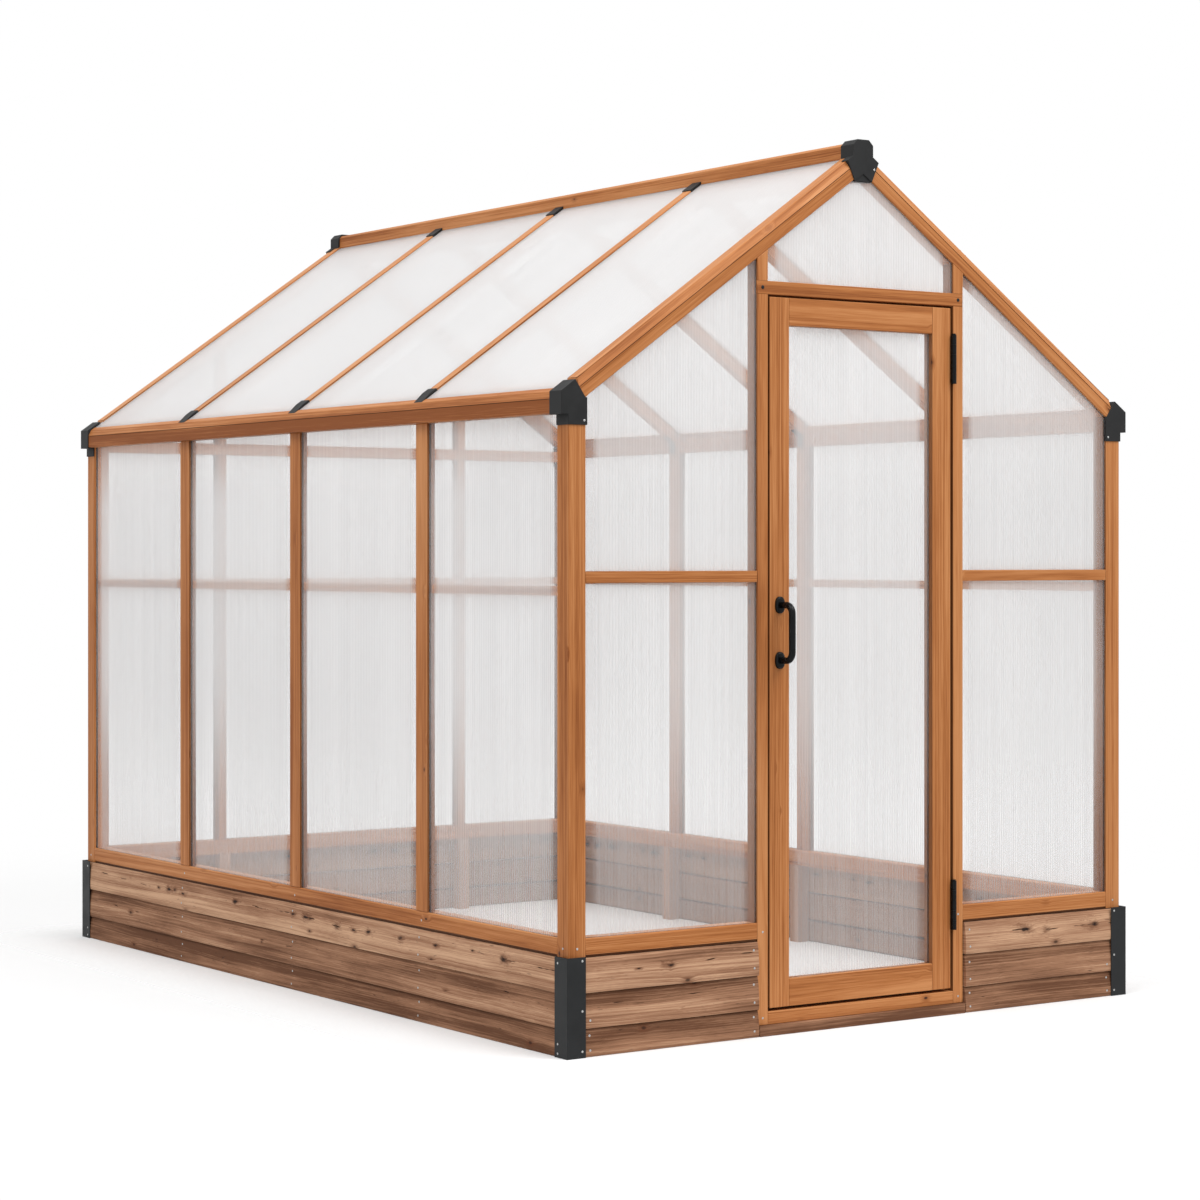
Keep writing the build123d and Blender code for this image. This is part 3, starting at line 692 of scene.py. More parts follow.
def twin_wall(look, name, haze, pale=1.0, clear_from=9.0, at_border=1.0):
    """Milky sheet with ribs, clearer at its foot and from a set level up.

    The measure across the ribs is divided by their pitch; its fraction is 0 on a rib. Ribs are greyer
    and hide more, each channel has its own small shade, and a slow noise clouds the skins. Beside the
    uprights, which touch the sheet, it hides less of them. Light on its way to the inside is dimmed less
    than the view, because the milk scatters it onwards.
    """
    f = Finish(name)
    place = f.attribute("flutes")
    across = f.sums("DIVIDE", f.split(place)[0], look.rib_pitch)
    ridge = f.times(f.sums("ABSOLUTE", f.less(f.sums("FRACT", across), 0.5)), 2.0)
    rib = f.fade(ridge, 0.40, 0.95)
    channel = f.node("TexWhiteNoise", {"W": f.sums("FLOOR", across)}, noise_dimensions="1D").outputs[0]
    cloud = f.noise(f.stretch(place, (1.1, 0.8, 1.0)), 3.0)
    shade = f.add(f.add(f.times(rib, 0.8), f.times(channel, 0.2)), f.fade(cloud, 0.35, 0.65, 0.0, 0.12))
    # pale scales both colours; below 1, as for the roof, it is a painted shade
    skin, web = (tuple(tone * pale for tone in colour) for colour in (look.clear, look.rib))
    milk = f.ramp(shade, [(0.0, skin), (1.0, web)])
    level = f.split(f.object_place())[2]
    veil = f.add(f.fade(level, 0.4, 0.95, 0.36 * haze, haze),
                 f.fade(level, clear_from, clear_from + 0.17, 0.0, -0.45 * haze))
    hides = f.times(rib, f.fade(level, 0.4, 0.95, 0.22, 0.10))
    hides = f.add(hides, f.times(f.less(channel, 0.5), 0.06))
    hides = f.add(f.add(hides, f.times(f.less(cloud, 0.5), 0.08)), veil)
    hides = f.times(hides, f.fade(f.attribute("border", "Fac"), 0.028, 0.055, at_border, 1.0))
    ray = f.node("LightPath").outputs
    onwards = f.larger(ray["Is Shadow Ray"], ray["Is Diffuse Ray"])
    hides = f.times(hides, f.fade(onwards, 0.0, 1.0, 1.0, 0.4))
    f.coat(milk, f.fade(cloud, 0.3, 0.7, 0.32, 0.46), specular=0.3)
    glow = f.node("BsdfTranslucent", {"Color": milk}).outputs[0]
    lit = f.node("MixShader", {0: 0.5, 1: f.shader.outputs[0], 2: glow}).outputs[0]
    clear = f.node("BsdfTransparent").outputs[0]
    f.feed(f.surface, f.node("MixShader", {0: hides, 1: clear, 2: lit}).outputs[0])
    return f.material


def black_skin(name, tone, lift, specular, fine, slow, rough, dust, bump):
    """A black finish: a fine noise for its texture, and a slow one for its tone, its gloss and its dust.

    The tone goes with the slow noise to one that is lift times as pale. The relief is the fine noise and
    a share, dust, of the slow one. A noise is given by its detail, roughness and scale.
    """
    f = Finish(name)
    place = f.object_place()
    texture, wear = f.noise(place, *fine), f.noise(place, *slow)
    pale = tuple(min(1.0, part * lift) for part in tone)
    f.coat(f.ramp(wear, [(0.35, tone), (0.75, pale)]), f.fade(wear, 0.3, 0.7, *rough), specular)
    f.relief(f.add(texture, f.times(wear, dust)) if dust else texture, *bump)
    return f.material


def moulded_black(look):
    """Fine-grained moulded plastic with a little dust."""
    return black_skin("grained_black", look.moulding, lift=1.7, specular=0.2, fine=(2.0, 0.6, 900.0),
                      slow=(3.0, 0.55, 24.0), rough=(0.50, 0.64), dust=0.3, bump=(0.25, 0.0004))


def coated_black(look):
    """Pebbled powder coat on steel, with slow changes of gloss."""
    return black_skin("coated_black", look.coating, lift=1.6, specular=0.22, fine=(1.0, 0.5, 420.0),
                      slow=(3.0, 0.6, 14.0), rough=(0.40, 0.56), dust=0.0, bump=(0.22, 0.0005))


def gloss_black(look):
    """Lacquer of the handle and hinges: smooth, with faint unevenness."""
    return black_skin("gloss_black", look.grip, lift=2.0, specular=0.14, fine=(2.0, 0.5, 160.0),
                      slow=(2.0, 0.5, 30.0), rough=(0.22, 0.36), dust=0.0, bump=(0.12, 0.0004))


def zinc_plate(look):
    """Bright plated steel with small scratches."""
    f = Finish("zinc_plate")
    haze = f.noise(f.object_place(), 2.0, 0.5, 700.0)
    dull = tuple(tone * 0.6 for tone in look.zinc)
    f.shader.inputs["Metallic"].default_value = 1.0
    f.coat(f.ramp(haze, [(0.3, dull), (0.65, look.zinc)]), f.fade(haze, 0.3, 0.7, 0.45, 0.28))
    f.relief(haze, strength=0.15, distance=0.0002)
    return f.material


# Pieces

def run_of(node):
    """The direction of a node's boards: the longest side of the first one, or a rafter's slope."""
    if "rafter" in node:
        side = 1.0 if node.endswith("left") else -1.0
        return np.array([side * cos(roof_pitch), 0.0, sin(roof_pitch)])
    points, number = solids_of(node)
    first = points[number == 0]
    return np.eye(3)[np.argmax(first.max(0) - first.min(0))]


def board_tone(node):
    """How much lighter than common a node's boards are stained."""
    # the eave beams' lower tone is partly a painted shade
    tones = {"header": -0.4, "door_rail_top": -0.3, "door_rail_bottom": 1.3, "door_": 0.9,
             "mid_rails": 0.8, "corner_post_front_right": 0.9, "gable": 0.7, "corner_post": -0.1,
             "stud": -0.3, "sill": -0.1, "eave": -0.9, "rafters": 0.5, "ridge": 0.3, "threshold": -3.4}
    return next((tone for word, tone in tones.items() if word in node), 0.0)


def sheet_sides(mesh, node):
    """Which faces of an upright look along its wall at a sheet: not those on the outside of the part."""
    normals, centres = (np.abs(part) for part in facing_of(mesh))
    border, more_at_ends = 0.06, 0.03
    outside = np.abs(np.array(cad_box[1])) - border
    looks_x = (normals[:, 0] > 0.9) & (centres[:, 0] < outside[0])
    looks_y = (normals[:, 1] > 0.9) & (centres[:, 1] < outside[1] - more_at_ends)
    if "corner_post" in node:
        return looks_x | looks_y
    if "studs_left" in node or "studs_right" in node:
        return looks_y
    if any(word in node for word in ("stud", "door_post", "stile")):
        return looks_x
    return np.zeros(len(normals), bool)


def eave_shade_faces(mesh, node):
    """Which faces are the upright outer ones of an eave beam, below its scored line: they get a painted
    shade.
    """
    if "eave_beam" not in node:
        return np.zeros(len(mesh.polygons))
    normals, centres = facing_of(mesh)
    return normals[:, 0] * np.sign(centres[:, 0]) > 0.98


def mark_boards(mesh, run, seed, node):
    """Notes on every point its place in its own board and the board's tone, and which faces stay dark.

    The note is the distance along the boards' run and the two distances across it from a heart line
    that lies outside the board, moved by a random amount for each board. The walls of grooves and the
    sides that look at a sheet are noted as groove, and the upright outer faces of the eave beams get a
    note of their own; both notes carry a painted shade.
    """
    points = points_of(mesh).astype(float)
    number = solids_in(mesh)
    count = number.max() + 1
    rng = np.random.default_rng(seed)
    across = np.cross(run, [1.0, 0.0, 0.0] if abs(run[1]) > 0.5 else [0.0, 1.0, 0.0])
    basis = np.stack([run, across, np.cross(run, across)])
    middle = np.zeros((count, 3))
    np.add.at(middle, number, points)
    middle /= np.bincount(number)[:, None]
    angle = rng.uniform(0, 2 * pi, count)
    heart = rng.uniform(0.05, 0.16, count)
    shift = np.stack([rng.uniform(0, 60, count), heart * np.cos(angle), heart * np.sin(angle)], axis=1)
    store(mesh, "grain", (points - middle[number]) @ basis.T + shift[number])
    store(mesh, "tone", board_tone(node) + rng.normal(0.0, 0.4, count)[number])
    # painted shade: 1 on the walls of grooves, 0.7 on the sides beside the sheets
    store(mesh, "groove", np.where(outer_faces(mesh), 0.7 * sheet_sides(mesh, node), 1.0), "FACE")
    # painted shade on the upright outer faces of the eave beams
    store(mesh, "eave_shade", eave_shade_faces(mesh, node), "FACE")


def waves(along, rng, longest, count):
    """A wandering line: a sum of sines, each about twice as quick and half as wide as the one before."""
    quick = 2.0 ** np.arange(count)[:, None]
    turns = 2 * pi * quick * along / longest * rng.uniform(0.8, 1.25, (count, 1))
    return (np.sin(turns + rng.uniform(0, 2 * pi, (count, 1))) / quick).sum(0)


def plank_fall(q, crown):
    """How far back a plank's face lies at q, from -1 at its lower edge to 1 at its upper one.

    It is the crown times three quarters of the square of the rise from the lower edge and one quarter
    of q to the sixth power: the plank leans out over the one below and both edges are rounded.
    """
    return crown * (0.75 * ((q + 1) / 2) ** 2 + 0.25 * q ** 6)


def plank_tubes(node, run, face, look, rng):
    """Three planks of one wall, bottom course first, with their places for the grain and their splits.

    A plank is a ring carried along the wall. The ring's front runs from q = -1 at the lower edge to
    q = 1 at the upper one and falls back as plank_fall says. A split is a notch about a wandering line;
    its depth is the lesser of a quick and a slow wandering line, cut off below nothing. Four corners
    at the back, with a bevel on each side, close the ring. The split's note also darkens the plank's
    edges, a painted shade in the joints, and is negative on its back.
    """
    low, high = box(node)
    depth_axis = 1 - run
    face_at, back_at = (high, low) if face > 0 else (low, high)
    upper = (high[2] - low[2] - look.bottom_course) / 2
    edges = low[2] + np.array([0.0, look.bottom_course, look.bottom_course + upper, high[2] - low[2]])
    rows = int((high[run] - low[run]) / plank_step)
    along = np.linspace(low[run], high[run], rows)
    edge = 1 - np.cos(np.linspace(0, pi / 2, 8))[:-1]
    spread = np.array([-1.0, -0.4, 0.0, 0.4, 1.0])
    tubes, grain, tone, splits, levels = [], [], [], [], []
    for course, (bottom, top) in enumerate(zip(edges[:-1], edges[1:])):
        middle, half = (bottom + top) / 2, (top - bottom) / 2 - course_gap
        line = np.clip(rng.uniform(0.0, 0.35) + 0.10 * waves(along, rng, 0.9, 6), -0.7, 0.7)[:, None]
        specks = waves(along, rng, 0.13, 3) - course_rarity[course]
        opening = np.clip(np.minimum(specks, waves(along, rng, 1.1, 2) + 0.3), 0, 1)[:, None]
        notch = line + look.split_width / 2 / half * spread
        below = -1 + (notch[:, :1] + 1) * edge
        above = 1 - (1 - notch[:, -1:]) * edge[::-1]
        q = np.concatenate([below, notch, above], axis=1)
        split = np.zeros((rows, q.shape[1] + 4))
        split[:, len(edge):-len(edge) - 4] = opening * (1 - np.abs(spread))
        tube = np.empty((rows, q.shape[1] + 4, 3))
        tube[..., run] = along[:, None]
        fall = plank_fall(q, look.crown) + look.split_depth * split[:, :-4]
        tube[:, :-4, depth_axis] = face_at[depth_axis] - face * fall
        tube[:, -4:, depth_axis] = back_at[depth_axis] + face * look.back_bevel * np.array([1, 0, 0, 1])
        tube[:, :-4, 2] = middle + half * q
        ends = half - look.back_bevel * np.array([0, 1, 1, 0])
        tube[:, -4:, 2] = middle + ends * np.array([1, 1, -1, -1])
        # painted shade in the joints: notes that darken the planks' front and back edges
        split[:, [0, -5]] = 0.25
        split[:, -4:] = np.array([0.6, -1.0, -1.0, 0.6])
        height = tube[..., 2] - middle
        seam = height - half * line + (0.0 if course == knotted_course else far_off)
        place = np.stack([tube[..., run] + rng.uniform(0, 60), height + rng.uniform(0, 9), seam], axis=-1)
        tubes.append(tube)
        grain.append(place.reshape(-1, 3))
        splits.append(split.ravel())
        tone.append(np.full(split.size, course_tones[course] + rng.normal(0.0, 0.25)))
        levels.append((height / half).ravel())
    return tubes, (("grain", grain), ("tone", tone), ("split", splits), ("level", levels))


def sheet_tubes(node, across, along, look):
    """Fluted sheets in the places of a node's flat ones, with notes for the ribs and the borders.

    A sheet is a ring of four points carried across its ribs. Its lower and upper ends follow the flat
    sheet's own outline. Each skin lies at the flat sheet's face on a rib and sags between ribs by the
    flute depth times half of one less the cosine of the way across.
    """
    points, number = solids_of(node)
    across, along = np.array(across, float), np.array(along, float)
    normal = np.cross(across, along)
    step = look.rib_pitch / 4
    tubes, places, borders = [], [], []
    for sheet in range(number.max() + 1):
        corners = points[number == sheet]
        u, v, n = corners @ across, corners @ along, corners @ normal
        ends = np.unique(np.round(u, 5))
        near = np.abs(u[None, :] - ends[:, None]) < 1e-4
        upper = np.where(near, v[None, :], -np.inf).max(1)
        lower = np.where(near, v[None, :], np.inf).min(1)
        over = upper >= np.interp(ends, ends[[0, -1]], upper[[0, -1]]) - 1e-4
        under = lower <= np.interp(ends, ends[[0, -1]], lower[[0, -1]]) + 1e-4
        inner = np.arange(np.ceil(ends[0] / step) + 1, np.floor(ends[-1] / step)) * step
        line = np.unique(np.concatenate([ends, inner]))
        top = np.interp(line, ends[over], upper[over])
        bottom = np.interp(line, ends[under], lower[under])
        sag = look.flute_depth * (0.5 - 0.5 * np.cos(2 * pi * line / look.rib_pitch))
        heights = np.stack([bottom, top, top, bottom], axis=1)
        depths = np.stack([n.max() - sag, n.max() - sag, n.min() + sag, n.min() + sag], axis=1)
        across_at = np.repeat(line[:, None], 4, axis=1)
        local = np.stack([across_at, heights, depths], axis=-1)
        tubes.append(local @ np.stack([across, along, normal]))
        places.append(local.reshape(-1, 3))
        borders.append(np.minimum(across_at - line[0], line[-1] - across_at).ravel())
    return tubes, (("flutes", places), ("border", borders))


def handle_tubes(place, spacing, standoff, bar, bend, foot):
    """The pull: a round bar carried along a D, and two domed feet.

    The bar's ring has its centre on a line that goes out from the door, turns through a quarter circle
    of the bend's radius, runs up, and turns back. The bar swells a little in the middle. A foot's ring
    is a rounded oval drawn in by a quarter-circle dome from the door's face to its top.
    """
    x, y, z = place
    turn = np.linspace(0, pi / 2, 10)
    low, high = z - spacing / 2, z + spacing / 2
    out = y - standoff
    rise = np.linspace(low + bend, high - bend, 12)[1:-1]
    path_y = np.concatenate([[y], out + bend - bend * np.sin(turn), np.full(len(rise), out),
                             out + bend - bend * np.cos(turn), [y]])
    path_z = np.concatenate([[low], low + bend - bend * np.cos(turn), rise,
                             high - bend + bend * np.sin(turn), [high]])
    heading = np.stack([np.gradient(path_y), np.gradient(path_z)], axis=1)
    heading /= np.linalg.norm(heading, axis=1)[:, None]
    swell = 1 + 0.06 * np.sin(np.linspace(0, pi, len(path_y))) ** 2
    radius = bar / 2 / swell.max() * swell
    around = np.linspace(0, 2 * pi, 24, endpoint=False)
    bar_tube = np.empty((len(path_y), len(around), 3))
    bar_tube[..., 0] = x + radius[:, None] * np.cos(around)
    bar_tube[..., 1] = path_y[:, None] - radius[:, None] * np.sin(around) * heading[:, 1:2]
    bar_tube[..., 2] = path_z[:, None] + radius[:, None] * np.sin(around) * heading[:, 0:1]
    width, tall, thick = foot
    climb = np.concatenate([[0.0], np.linspace(0, pi / 2, 9)[:-1] * 0.98])
    inward = np.concatenate([[1.0], 1 - 0.42 * (1 - np.cos(climb[1:]))])
    level = np.concatenate([[0.0], 0.35 + 0.65 * np.sin(climb[1:])])
    oval_x = np.sign(np.cos(around)) * np.abs(np.cos(around)) ** 0.8
    oval_z = np.sign(np.sin(around)) * np.abs(np.sin(around)) ** 0.8
    feet = []
    for centre in (low, high):
        tube = np.empty((len(climb), len(around), 3))
        tube[..., 0] = x + width / 2 * inward[:, None] * oval_x
        tube[..., 1] = y - thick * level[:, None]
        tube[..., 2] = centre + tall / 2 * inward[:, None] * oval_z
        feet.append(tube)
    return [bar_tube] + feet


def gap_shade_tube(low, high):
    """Dark strip on the sill behind the door, a painted shade in the gap: one ring carried along the
    doorway.

    The ring is a flat foot, two straight sides and a half circle over them.
    """
    around = np.linspace(0, pi, 9)
    half = (high[1] - low[1]) / 2
    y = np.concatenate([[high[1], low[1]], low[1] + half - half * np.cos(around)])
    z = np.concatenate([[low[2], low[2]], high[2] - half + half * np.sin(around)])
    ring = np.stack([np.zeros(len(y)), y, z], axis=1)
    return np.array([[low[0], 0, 0], [high[0], 0, 0]])[:, None, :] + ring


def screw_tubes(places, faces, across):
    """Domed screw heads, one at each place, looking along its face's direction.

    A head is a stack of eight-sided rings: the rim, a shoulder and a dome, and a recess pressed into
    its middle.
    """
    around = np.linspace(0, 2 * pi, 8, endpoint=False)
    reach = across / 2 * np.array([1.0, 1.0, 0.72, 0.36, 0.26])
    rise = across * np.array([-0.05, 0.06, 0.12, 0.14, 0.05])
    tubes = []
    for place, face in zip(places, faces):
        face = np.array(face, float)
        side = np.cross(face, [0.0, 0.0, 1.0])
        up = np.cross(side, face)
        spread = np.cos(around)[:, None] * side + np.sin(around)[:, None] * up
        tubes.append(np.array(place) + reach[:, None, None] * spread + rise[:, None, None] * face)
    return tubes


def mirrored(spots):
    """The same screws on both sides of the greenhouse."""
    return spots + [((-x, y, z), (-a, b, c)) for (x, y, z), (a, b, c) in spots]


def stud_lines():
    """Where the studs of the long walls stand, along them."""
    front, back = box("corner_post_front_left")[0][1], box("corner_post_back_left")[1][1]
    return [front + (back - front) * quarter / 4 for quarter in (1, 2, 3)]


def plank_screws(look):
    """Two screws in each plank at every batten, and at the ends of the front planks."""
    low, high = box("base_planks_left")
    upper = (high[2] - low[2] - look.bottom_course) / 2
    starts = [0.0, look.bottom_course, look.bottom_course + upper]
    levels = [(start + part * size, plank_fall(2 * part - 1, look.crown))
              for start, size in zip(starts, [look.bottom_course, upper, upper]) for part in plank_rows]
    spots = [((low[0] + fall, line, z), (-1, 0, 0)) for line in stud_lines() for z, fall in levels]
    back = box("base_planks_back")[1][1]
    stud = box("studs_back")[0][0] + back_stud_half
    spots += [((stud, back - fall, z), (0, 1, 0)) for z, fall in levels]
    front_low, front_high = box("base_planks_front_left")
    angle_end = box("base_corner_angles")[0][0] + angle_leg
    spots += [((front_high[0] - plank_end, front_low[1] + fall, z), (0, -1, 0)) for z, fall in levels]
    spots += [((angle_end + beside_angle, front_low[1] + fall, z), (0, -1, 0)) for z, fall in levels[:3]]
    return mirrored(spots)


def sill_screws():
    """One screw in the sill under each stud."""
    low, high = box("sill_left")
    return mirrored([((low[0], line, (low[2] + high[2]) / 2), (-1, 0, 0)) for line in stud_lines()])


def angle_screws():
    """Three screws in each leg of a corner angle; the legs against the back wall have none."""
    low, high = box("base_corner_angles")
    side = [((low[0], y, z), (-1, 0, 0)) for y in (low[1] + angle_side_line, high[1] - angle_side_line)
            for z in angle_side_levels]
    front = [((low[0] + angle_front_line, low[1], z), (0, -1, 0)) for z in angle_front_levels]
    return mirrored(side + front)


def upright_screws():
    """A screw in both outer faces of each corner post's foot, and two in each door post."""
    spots = []
    for node in ("corner_post_front_left", "corner_post_back_left"):
        low, high = box(node)
        middle = (low + high) / 2
        outside, face = (low[1], -1) if "front" in node else (high[1], 1)
        spots += [((low[0], middle[1], low[2] + post_foot), (-1, 0, 0)),
                  ((middle[0], outside, low[2] + post_foot), (0, face, 0))]
    low, high = box("door_post_left")
    spots += [(((low[0] + high[0]) / 2, low[1], z), (0, -1, 0)) for z in door_post_levels]
    return mirrored(spots)


def header_bolts():
    """A dark bolt through each end of the header."""
    low, high = box("door_header")
    return mirrored([((low[0] + header_end, low[1], (low[2] + high[2]) / 2), (0, -1, 0))])


def moulding_screws():
    """One screw in the plate of each eave corner, and one in each ridge cap's right arm."""
    low, high = box("eave_connectors")
    corners = [((low[0] + eave_plate[0], y, low[2] + eave_plate[1]), (0, face, 0))
               for y, face in ((low[1], -1), (high[1], 1))]
    low, high = box("ridge_connectors")
    arms = [((ridge_arm[0], y, low[2] + ridge_arm[1]), (0, face, 0))
            for y, face in ((low[1], -1), (high[1], 1))]
    return mirrored(corners) + arms


class GREENHOUSE_OT_timber(Operator):
    """Welded copies of the frame's boards with eased edges and stained grain"""

    bl_idname = "greenhouse.timber"
    bl_label = "Dress the Timber"

    def execute(self, context):
        look = context.scene.greenhouse_timber
        planks = context.scene.greenhouse_planks
        cedar, weathered = stained_cedar(look), weathered_plank(planks)
        words = ("sill", "post", "stud", "rail", "beam", "header", "rafters", "gable_rafter", "stile",
                 "threshold")
        boards = [node for node in sorted(frame["nodes"]) if any(word in node for word in words)]
        for order, node in enumerate(boards):
            run = run_of(node)
            mesh = welded(node, run)
            mark_boards(mesh, run, look.seed + order, node)
            ground = node == "threshold_board"
            piece = put(node + "_timber", mesh, body_of(node), weathered if ground else cedar,
                        [node])
            ease_edges(piece, look.arris, 4 * look.arris, only_outer=True)
        for node in ("base_battens", "door_stops"):
            paint(node, inner_batten(planks if node == "base_battens" else look))
        return {"FINISHED"}


class GREENHOUSE_OT_planks(Operator):
    """Crowned boards of the base, three courses to each wall"""

    bl_idname = "greenhouse.planks"
    bl_label = "Lay the Planks"

    def execute(self, context):
        look = context.scene.greenhouse_planks
        finish = bpy.data.materials["weathered_plank"]
        walls = (("base_planks_left", 1, -1), ("base_planks_right", 1, 1), ("base_planks_back", 0, 1),
                 ("base_planks_front_left", 0, -1), ("base_planks_front_right", 0, -1))
        for order, (node, run, face) in enumerate(walls):
            rng = np.random.default_rng(look.seed + order)
            tubes, notes = plank_tubes(node, run, face, look, rng)
            mesh = tubes_mesh(node, tubes, notes)
            put(node + "_boards", mesh, body_of(node), finish, [node])
        return {"FINISHED"}


class GREENHOUSE_OT_glazing(Operator):
    """Fluted twin-wall sheets of the walls, the roof and the door"""

    bl_idname = "greenhouse.glazing"
    bl_label = "Glaze"

    def execute(self, context):
        look = context.scene.greenhouse_glazing
        end = twin_wall(look, "twin_wall_end", look.end_haze, at_border=look.at_border)
        side = twin_wall(look, "twin_wall_side", look.side_haze, clear_from=look.side_clear_from,
                         at_border=look.at_border)
        # the roof's copy of the sheet colours carries a painted shade
        roof = twin_wall(look, "twin_wall_roof", look.roof_haze, look.roof_shade)
        up = (0.0, 0.0, 1.0)
        left_slope = (cos(roof_pitch), 0.0, sin(roof_pitch))
        right_slope = (-cos(roof_pitch), 0.0, sin(roof_pitch))
        walls = (("glazing_left", (0, 1, 0), up, side), ("glazing_right", (0, 1, 0), up, side),
                 ("glazing_front", (1, 0, 0), up, end), ("glazing_back", (1, 0, 0), up, end),
                 ("door_glazing", (1, 0, 0), up, end), ("roof_glazing_left", (0, 1, 0), left_slope, roof),
                 ("roof_glazing_right", (0, 1, 0), right_slope, roof))
        for node, across, along, finish in walls:
            tubes, notes = sheet_tubes(node, across, along, look)
            mesh = tubes_mesh(node, tubes, notes)
            put(node + "_sheets", mesh, body_of(node), finish, [node])
        return {"FINISHED"}


class GREENHOUSE_OT_mouldings(Operator):
    """Black connectors and sockets with softened edges"""

    bl_idname = "greenhouse.mouldings"
    bl_label = "Fit the Mouldings"

    def execute(self, context):
        finish = moulded_black(context.scene.greenhouse_fittings)
        for node in ("eave_connectors", "ridge_connectors", "rafter_eave_sockets", "rafter_ridge_sockets"):
            piece = put(node + "_moulded", welded(node), body_of(node), finish, [node])
            ease_edges(piece, *moulding_edge)
        return {"FINISHED"}


class GREENHOUSE_OT_metalwork(Operator):
    """Coated corner angles and brackets, and lacquered hinges"""

    bl_idname = "greenhouse.metalwork"
    bl_label = "Fit the Metalwork"

    def execute(self, context):
        finish = coated_black(context.scene.greenhouse_fittings)
        lacquer = gloss_black(context.scene.greenhouse_fittings)
        for node in ("base_corner_angles", "rafter_brackets"):
            piece = put(node + "_coated", welded(node), body_of(node), finish, [node])
            ease_edges(piece, *metal_edge)
        for node in ("hinge_leaves_door", "hinge_leaves_frame", "hinge_pins"):
            paint(node, lacquer)
        return {"FINISHED"}


class GREENHOUSE_OT_handle(Operator):
    """D-shaped pull with two domed feet"""

    bl_idname = "greenhouse.handle"
    bl_label = "Fit the Handle"

    def execute(self, context):
        low, high = box("door_handle")
        x, z = (low[0] + high[0]) / 2, (low[2] + high[2]) / 2
        foot = (high[0] - low[0], foot_height, foot_rise)
        spacing = high[2] - low[2] - foot_height
        standoff = high[1] - low[1] - bar_width / 2
        tubes = handle_tubes((x, high[1], z), spacing, standoff, bar_width, bar_bend, foot)
        mesh = tubes_mesh("door_handle", tubes)
        smooth(mesh)
        put("door_handle_pull", mesh, "door", bpy.data.materials["gloss_black"],
            ["door_handle"])
        return {"FINISHED"}


class GREENHOUSE_OT_gap_shade(Operator):
    """Black strip under the door: a painted shade in its gap"""

    bl_idname = "greenhouse.seal"
    bl_label = "Lay the Seal"

    def execute(self, context):
        # a dark piece where there is only shade: painted shade in the gap under the door
        low, high = box("door_stops")
        sides = np.array([gap_shade_end, 0.0, 0.0])
        top = np.array([high[0], high[1], low[2] + context.scene.greenhouse_fittings.gap_shade_height])
        mesh = tubes_mesh("door_gap_shade", [gap_shade_tube(low + sides, top - sides)])
        put("door_gap_shade", mesh, "frame", bpy.data.materials["grained_black"])
        return {"FINISHED"}


class GREENHOUSE_OT_screws(Operator):
    """Bright screw heads on the planks, sills, posts and mouldings"""

    bl_idname = "greenhouse.screws"
    bl_label = "Drive the Screws"

    def execute(self, context):
        look = context.scene.greenhouse_fittings
        planks = context.scene.greenhouse_planks
        spots = (plank_screws(planks) + sill_screws() + angle_screws() + upright_screws()
                 + moulding_screws())
        places, faces = zip(*spots)
        mesh = tubes_mesh("screws", screw_tubes(places, faces, look.screw_head))
        put("screws_zinc", mesh, "frame", zinc_plate(look))
        places, faces = zip(*header_bolts())
        mesh = tubes_mesh("bolts", screw_tubes(places, faces, look.bolt_head))
        put("bolts_black", mesh, "frame", bpy.data.materials["coated_black"])
        return {"FINISHED"}


class GREENHOUSE_OT_stage(Operator):
    """Pale floor, soft lamps and the camera at the photographed angle"""

    bl_idname = "greenhouse.stage"
    bl_label = "Set the Stage"

    def execute(self, context):
        look = context.scene.greenhouse_stage
        lay_floor(look)
        light_room(look)
        hang_lamp("key_lamp", key_place, look.key)
        hang_lamp("side_lamp", side_place, look.key * side_share)
        lens = bpy.data.cameras.new("camera")
        lens.lens = look.lens
        lens.sensor_width = 36.0
        lens.shift_y = look.fall
        lens.clip_end = 100.0
        eye = bpy.data.objects.new("camera", lens)
        eye.location = look.place
        eye.rotation_euler = (pi / 2, 0.0, look.turn)
        context.scene.collection.objects.link(eye)
        context.scene.camera = eye
        context.scene.view_settings.view_transform = "Standard"
        return {"FINISHED"}


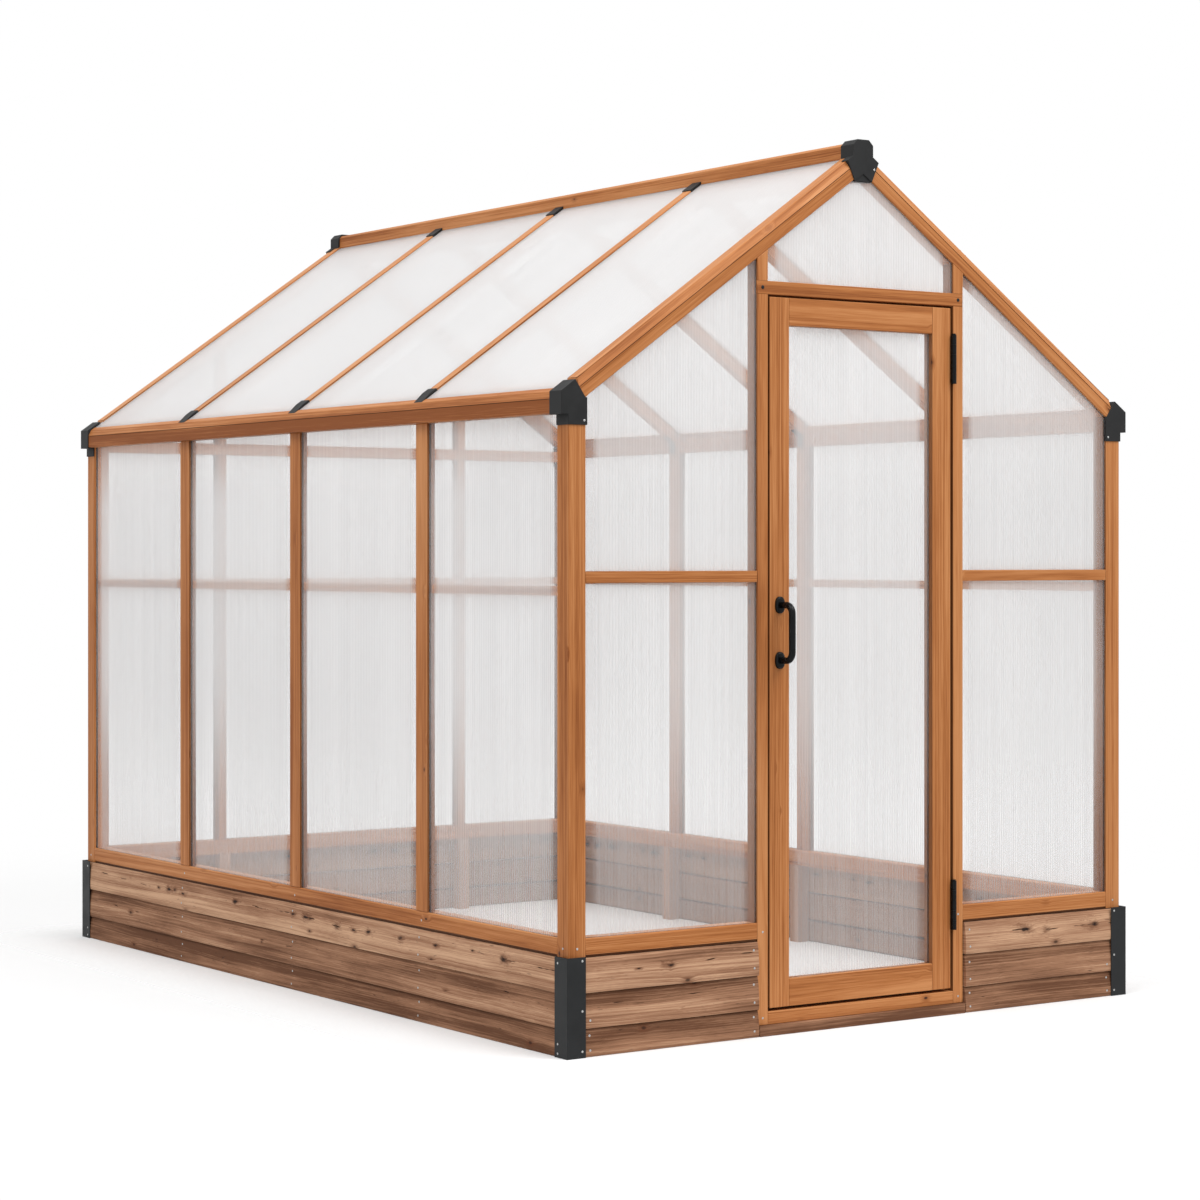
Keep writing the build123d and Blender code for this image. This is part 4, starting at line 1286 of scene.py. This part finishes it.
def lay_floor(look):
    """A round floor that fades into the white room: rings about the part's middle.

    Its own shading shows most inside the base's rectangle, thins with the distance outside it, and goes
    with the distance from the part's middle; elsewhere the floor lets the room show through.
    """
    rings = np.array([0.001, 2.0, 4.0, 6.0, 9.0])
    around = np.linspace(0, 2 * pi, 64, endpoint=False)
    points = np.zeros((len(rings), len(around), 3))
    points[..., 0] = rings[:, None] * np.cos(around)
    points[..., 1] = rings[:, None] * np.sin(around)
    index = np.arange(points.shape[0] * points.shape[1]).reshape(points.shape[:2])
    following = np.roll(index, -1, axis=1)
    quads = np.stack([index[:-1], index[1:], following[1:], following[:-1]], axis=-1).reshape(-1, 4)
    mesh = bpy.data.meshes.new("floor_mesh")
    mesh.from_pydata(points.reshape(-1, 3), [], quads.tolist() + [index[0].tolist()])
    f = Finish("studio_floor")
    place = f.object_place()
    away = f.length(place)
    low, high = box("base_corner_angles")
    sides = f.split(f.minus(place, tuple((low + high) / 2)))
    beyond = [f.larger(f.less(f.sums("ABSOLUTE", side), reach), 0.0)
              for side, reach in zip(sides, (high - low)[:2] / 2)]
    gap = f.length(f.joined(*beyond))
    pale = tuple(tone * 0.97 for tone in look.floor)
    f.coat(f.ramp(f.noise(place, 2.0, 0.5, 3.0), [(0.3, pale), (0.7, look.floor)]), roughness=0.9)
    clear = f.node("BsdfTransparent").outputs[0]
    shown = f.times(f.fade(gap, 0.0, contact_reach, look.shade, look.shadow),
                    f.fade(away, *floor_fade, 1.0, 0.0))
    f.feed(f.surface, f.node("MixShader", {0: shown, 1: clear, 2: f.shader.outputs[0]}).outputs[0])
    mesh.materials.append(f.material)
    floor = bpy.data.objects.new("floor", mesh)
    bpy.context.scene.collection.objects.link(floor)


def light_room(look):
    """An even white room: white itself to the camera and in reflections, softer as a light."""
    world = bpy.data.worlds.new("white_room")
    bpy.context.scene.world = world
    world.use_nodes = True
    tree = world.node_tree
    tree.nodes.clear()
    ray = tree.nodes.new("ShaderNodeLightPath")
    seen = ray.outputs["Is Camera Ray"]
    for way in ("Is Glossy Ray", "Is Transmission Ray"):
        either = tree.nodes.new("ShaderNodeMath")
        either.operation = "MAXIMUM"
        tree.links.new(seen, either.inputs[0])
        tree.links.new(ray.outputs[way], either.inputs[1])
        seen = either.outputs[0]
    both = tree.nodes.new("ShaderNodeMixShader")
    tree.links.new(seen, both.inputs[0])
    for socket, strength in ((both.inputs[1], look.room), (both.inputs[2], 1.0)):
        light = tree.nodes.new("ShaderNodeBackground")
        light.inputs["Color"].default_value = (1.0, 1.0, 1.0, 1.0)
        light.inputs["Strength"].default_value = strength
        tree.links.new(light.outputs[0], socket)
    tree.links.new(both.outputs[0], tree.nodes.new("ShaderNodeOutputWorld").inputs["Surface"])


def hang_lamp(name, place, power):
    """A large square lamp turned to the middle of the part."""
    lamp = bpy.data.lights.new(name, "AREA")
    lamp.shape = "SQUARE"
    lamp.size = lamp_size
    lamp.energy = power
    hung = bpy.data.objects.new(name, lamp)
    hung.location = place
    aim = np.array(lamp_target) - np.array(place)
    flat = np.hypot(aim[0], aim[1])
    hung.rotation_euler = (np.arctan2(flat, -aim[2]), 0.0, np.arctan2(-aim[0], aim[1]))
    bpy.context.scene.collection.objects.link(hung)


class GREENHOUSE_PT_build(Panel):
    """Lists the steps of the build in the sidebar"""

    bl_label = "Greenhouse"
    bl_idname = "GREENHOUSE_PT_build"
    bl_space_type = "VIEW_3D"
    bl_region_type = "UI"
    bl_category = "Greenhouse"

    def draw(self, context):
        for operator in operators:
            self.layout.operator(operator.bl_idname)


operators = (GREENHOUSE_OT_timber, GREENHOUSE_OT_planks, GREENHOUSE_OT_glazing, GREENHOUSE_OT_mouldings,
             GREENHOUSE_OT_metalwork, GREENHOUSE_OT_handle, GREENHOUSE_OT_gap_shade, GREENHOUSE_OT_screws,
             GREENHOUSE_OT_stage)
groups = {"greenhouse_timber": GreenhouseTimber, "greenhouse_planks": GreenhousePlanks,
          "greenhouse_glazing": GreenhouseGlazing, "greenhouse_fittings": GreenhouseFittings,
          "greenhouse_stage": GreenhouseStage}


def register():
    """Adds the property groups, the operators and the panel."""
    for made in (*groups.values(), *operators, GREENHOUSE_PT_build):
        bpy.utils.register_class(made)
    for name, group in groups.items():
        setattr(bpy.types.Scene, name, PointerProperty(type=group))


def unregister():
    """Takes them away again."""
    for name in groups:
        delattr(bpy.types.Scene, name)
    for made in (GREENHOUSE_PT_build, *reversed(operators), *reversed(groups.values())):
        bpy.utils.unregister_class(made)


def main():
    """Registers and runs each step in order."""
    register()
    bpy.ops.greenhouse.timber()
    bpy.ops.greenhouse.planks()
    bpy.ops.greenhouse.glazing()
    bpy.ops.greenhouse.mouldings()
    bpy.ops.greenhouse.metalwork()
    bpy.ops.greenhouse.handle()
    bpy.ops.greenhouse.seal()
    bpy.ops.greenhouse.screws()
    bpy.ops.greenhouse.stage()


if __name__ == "__main__":
    main()
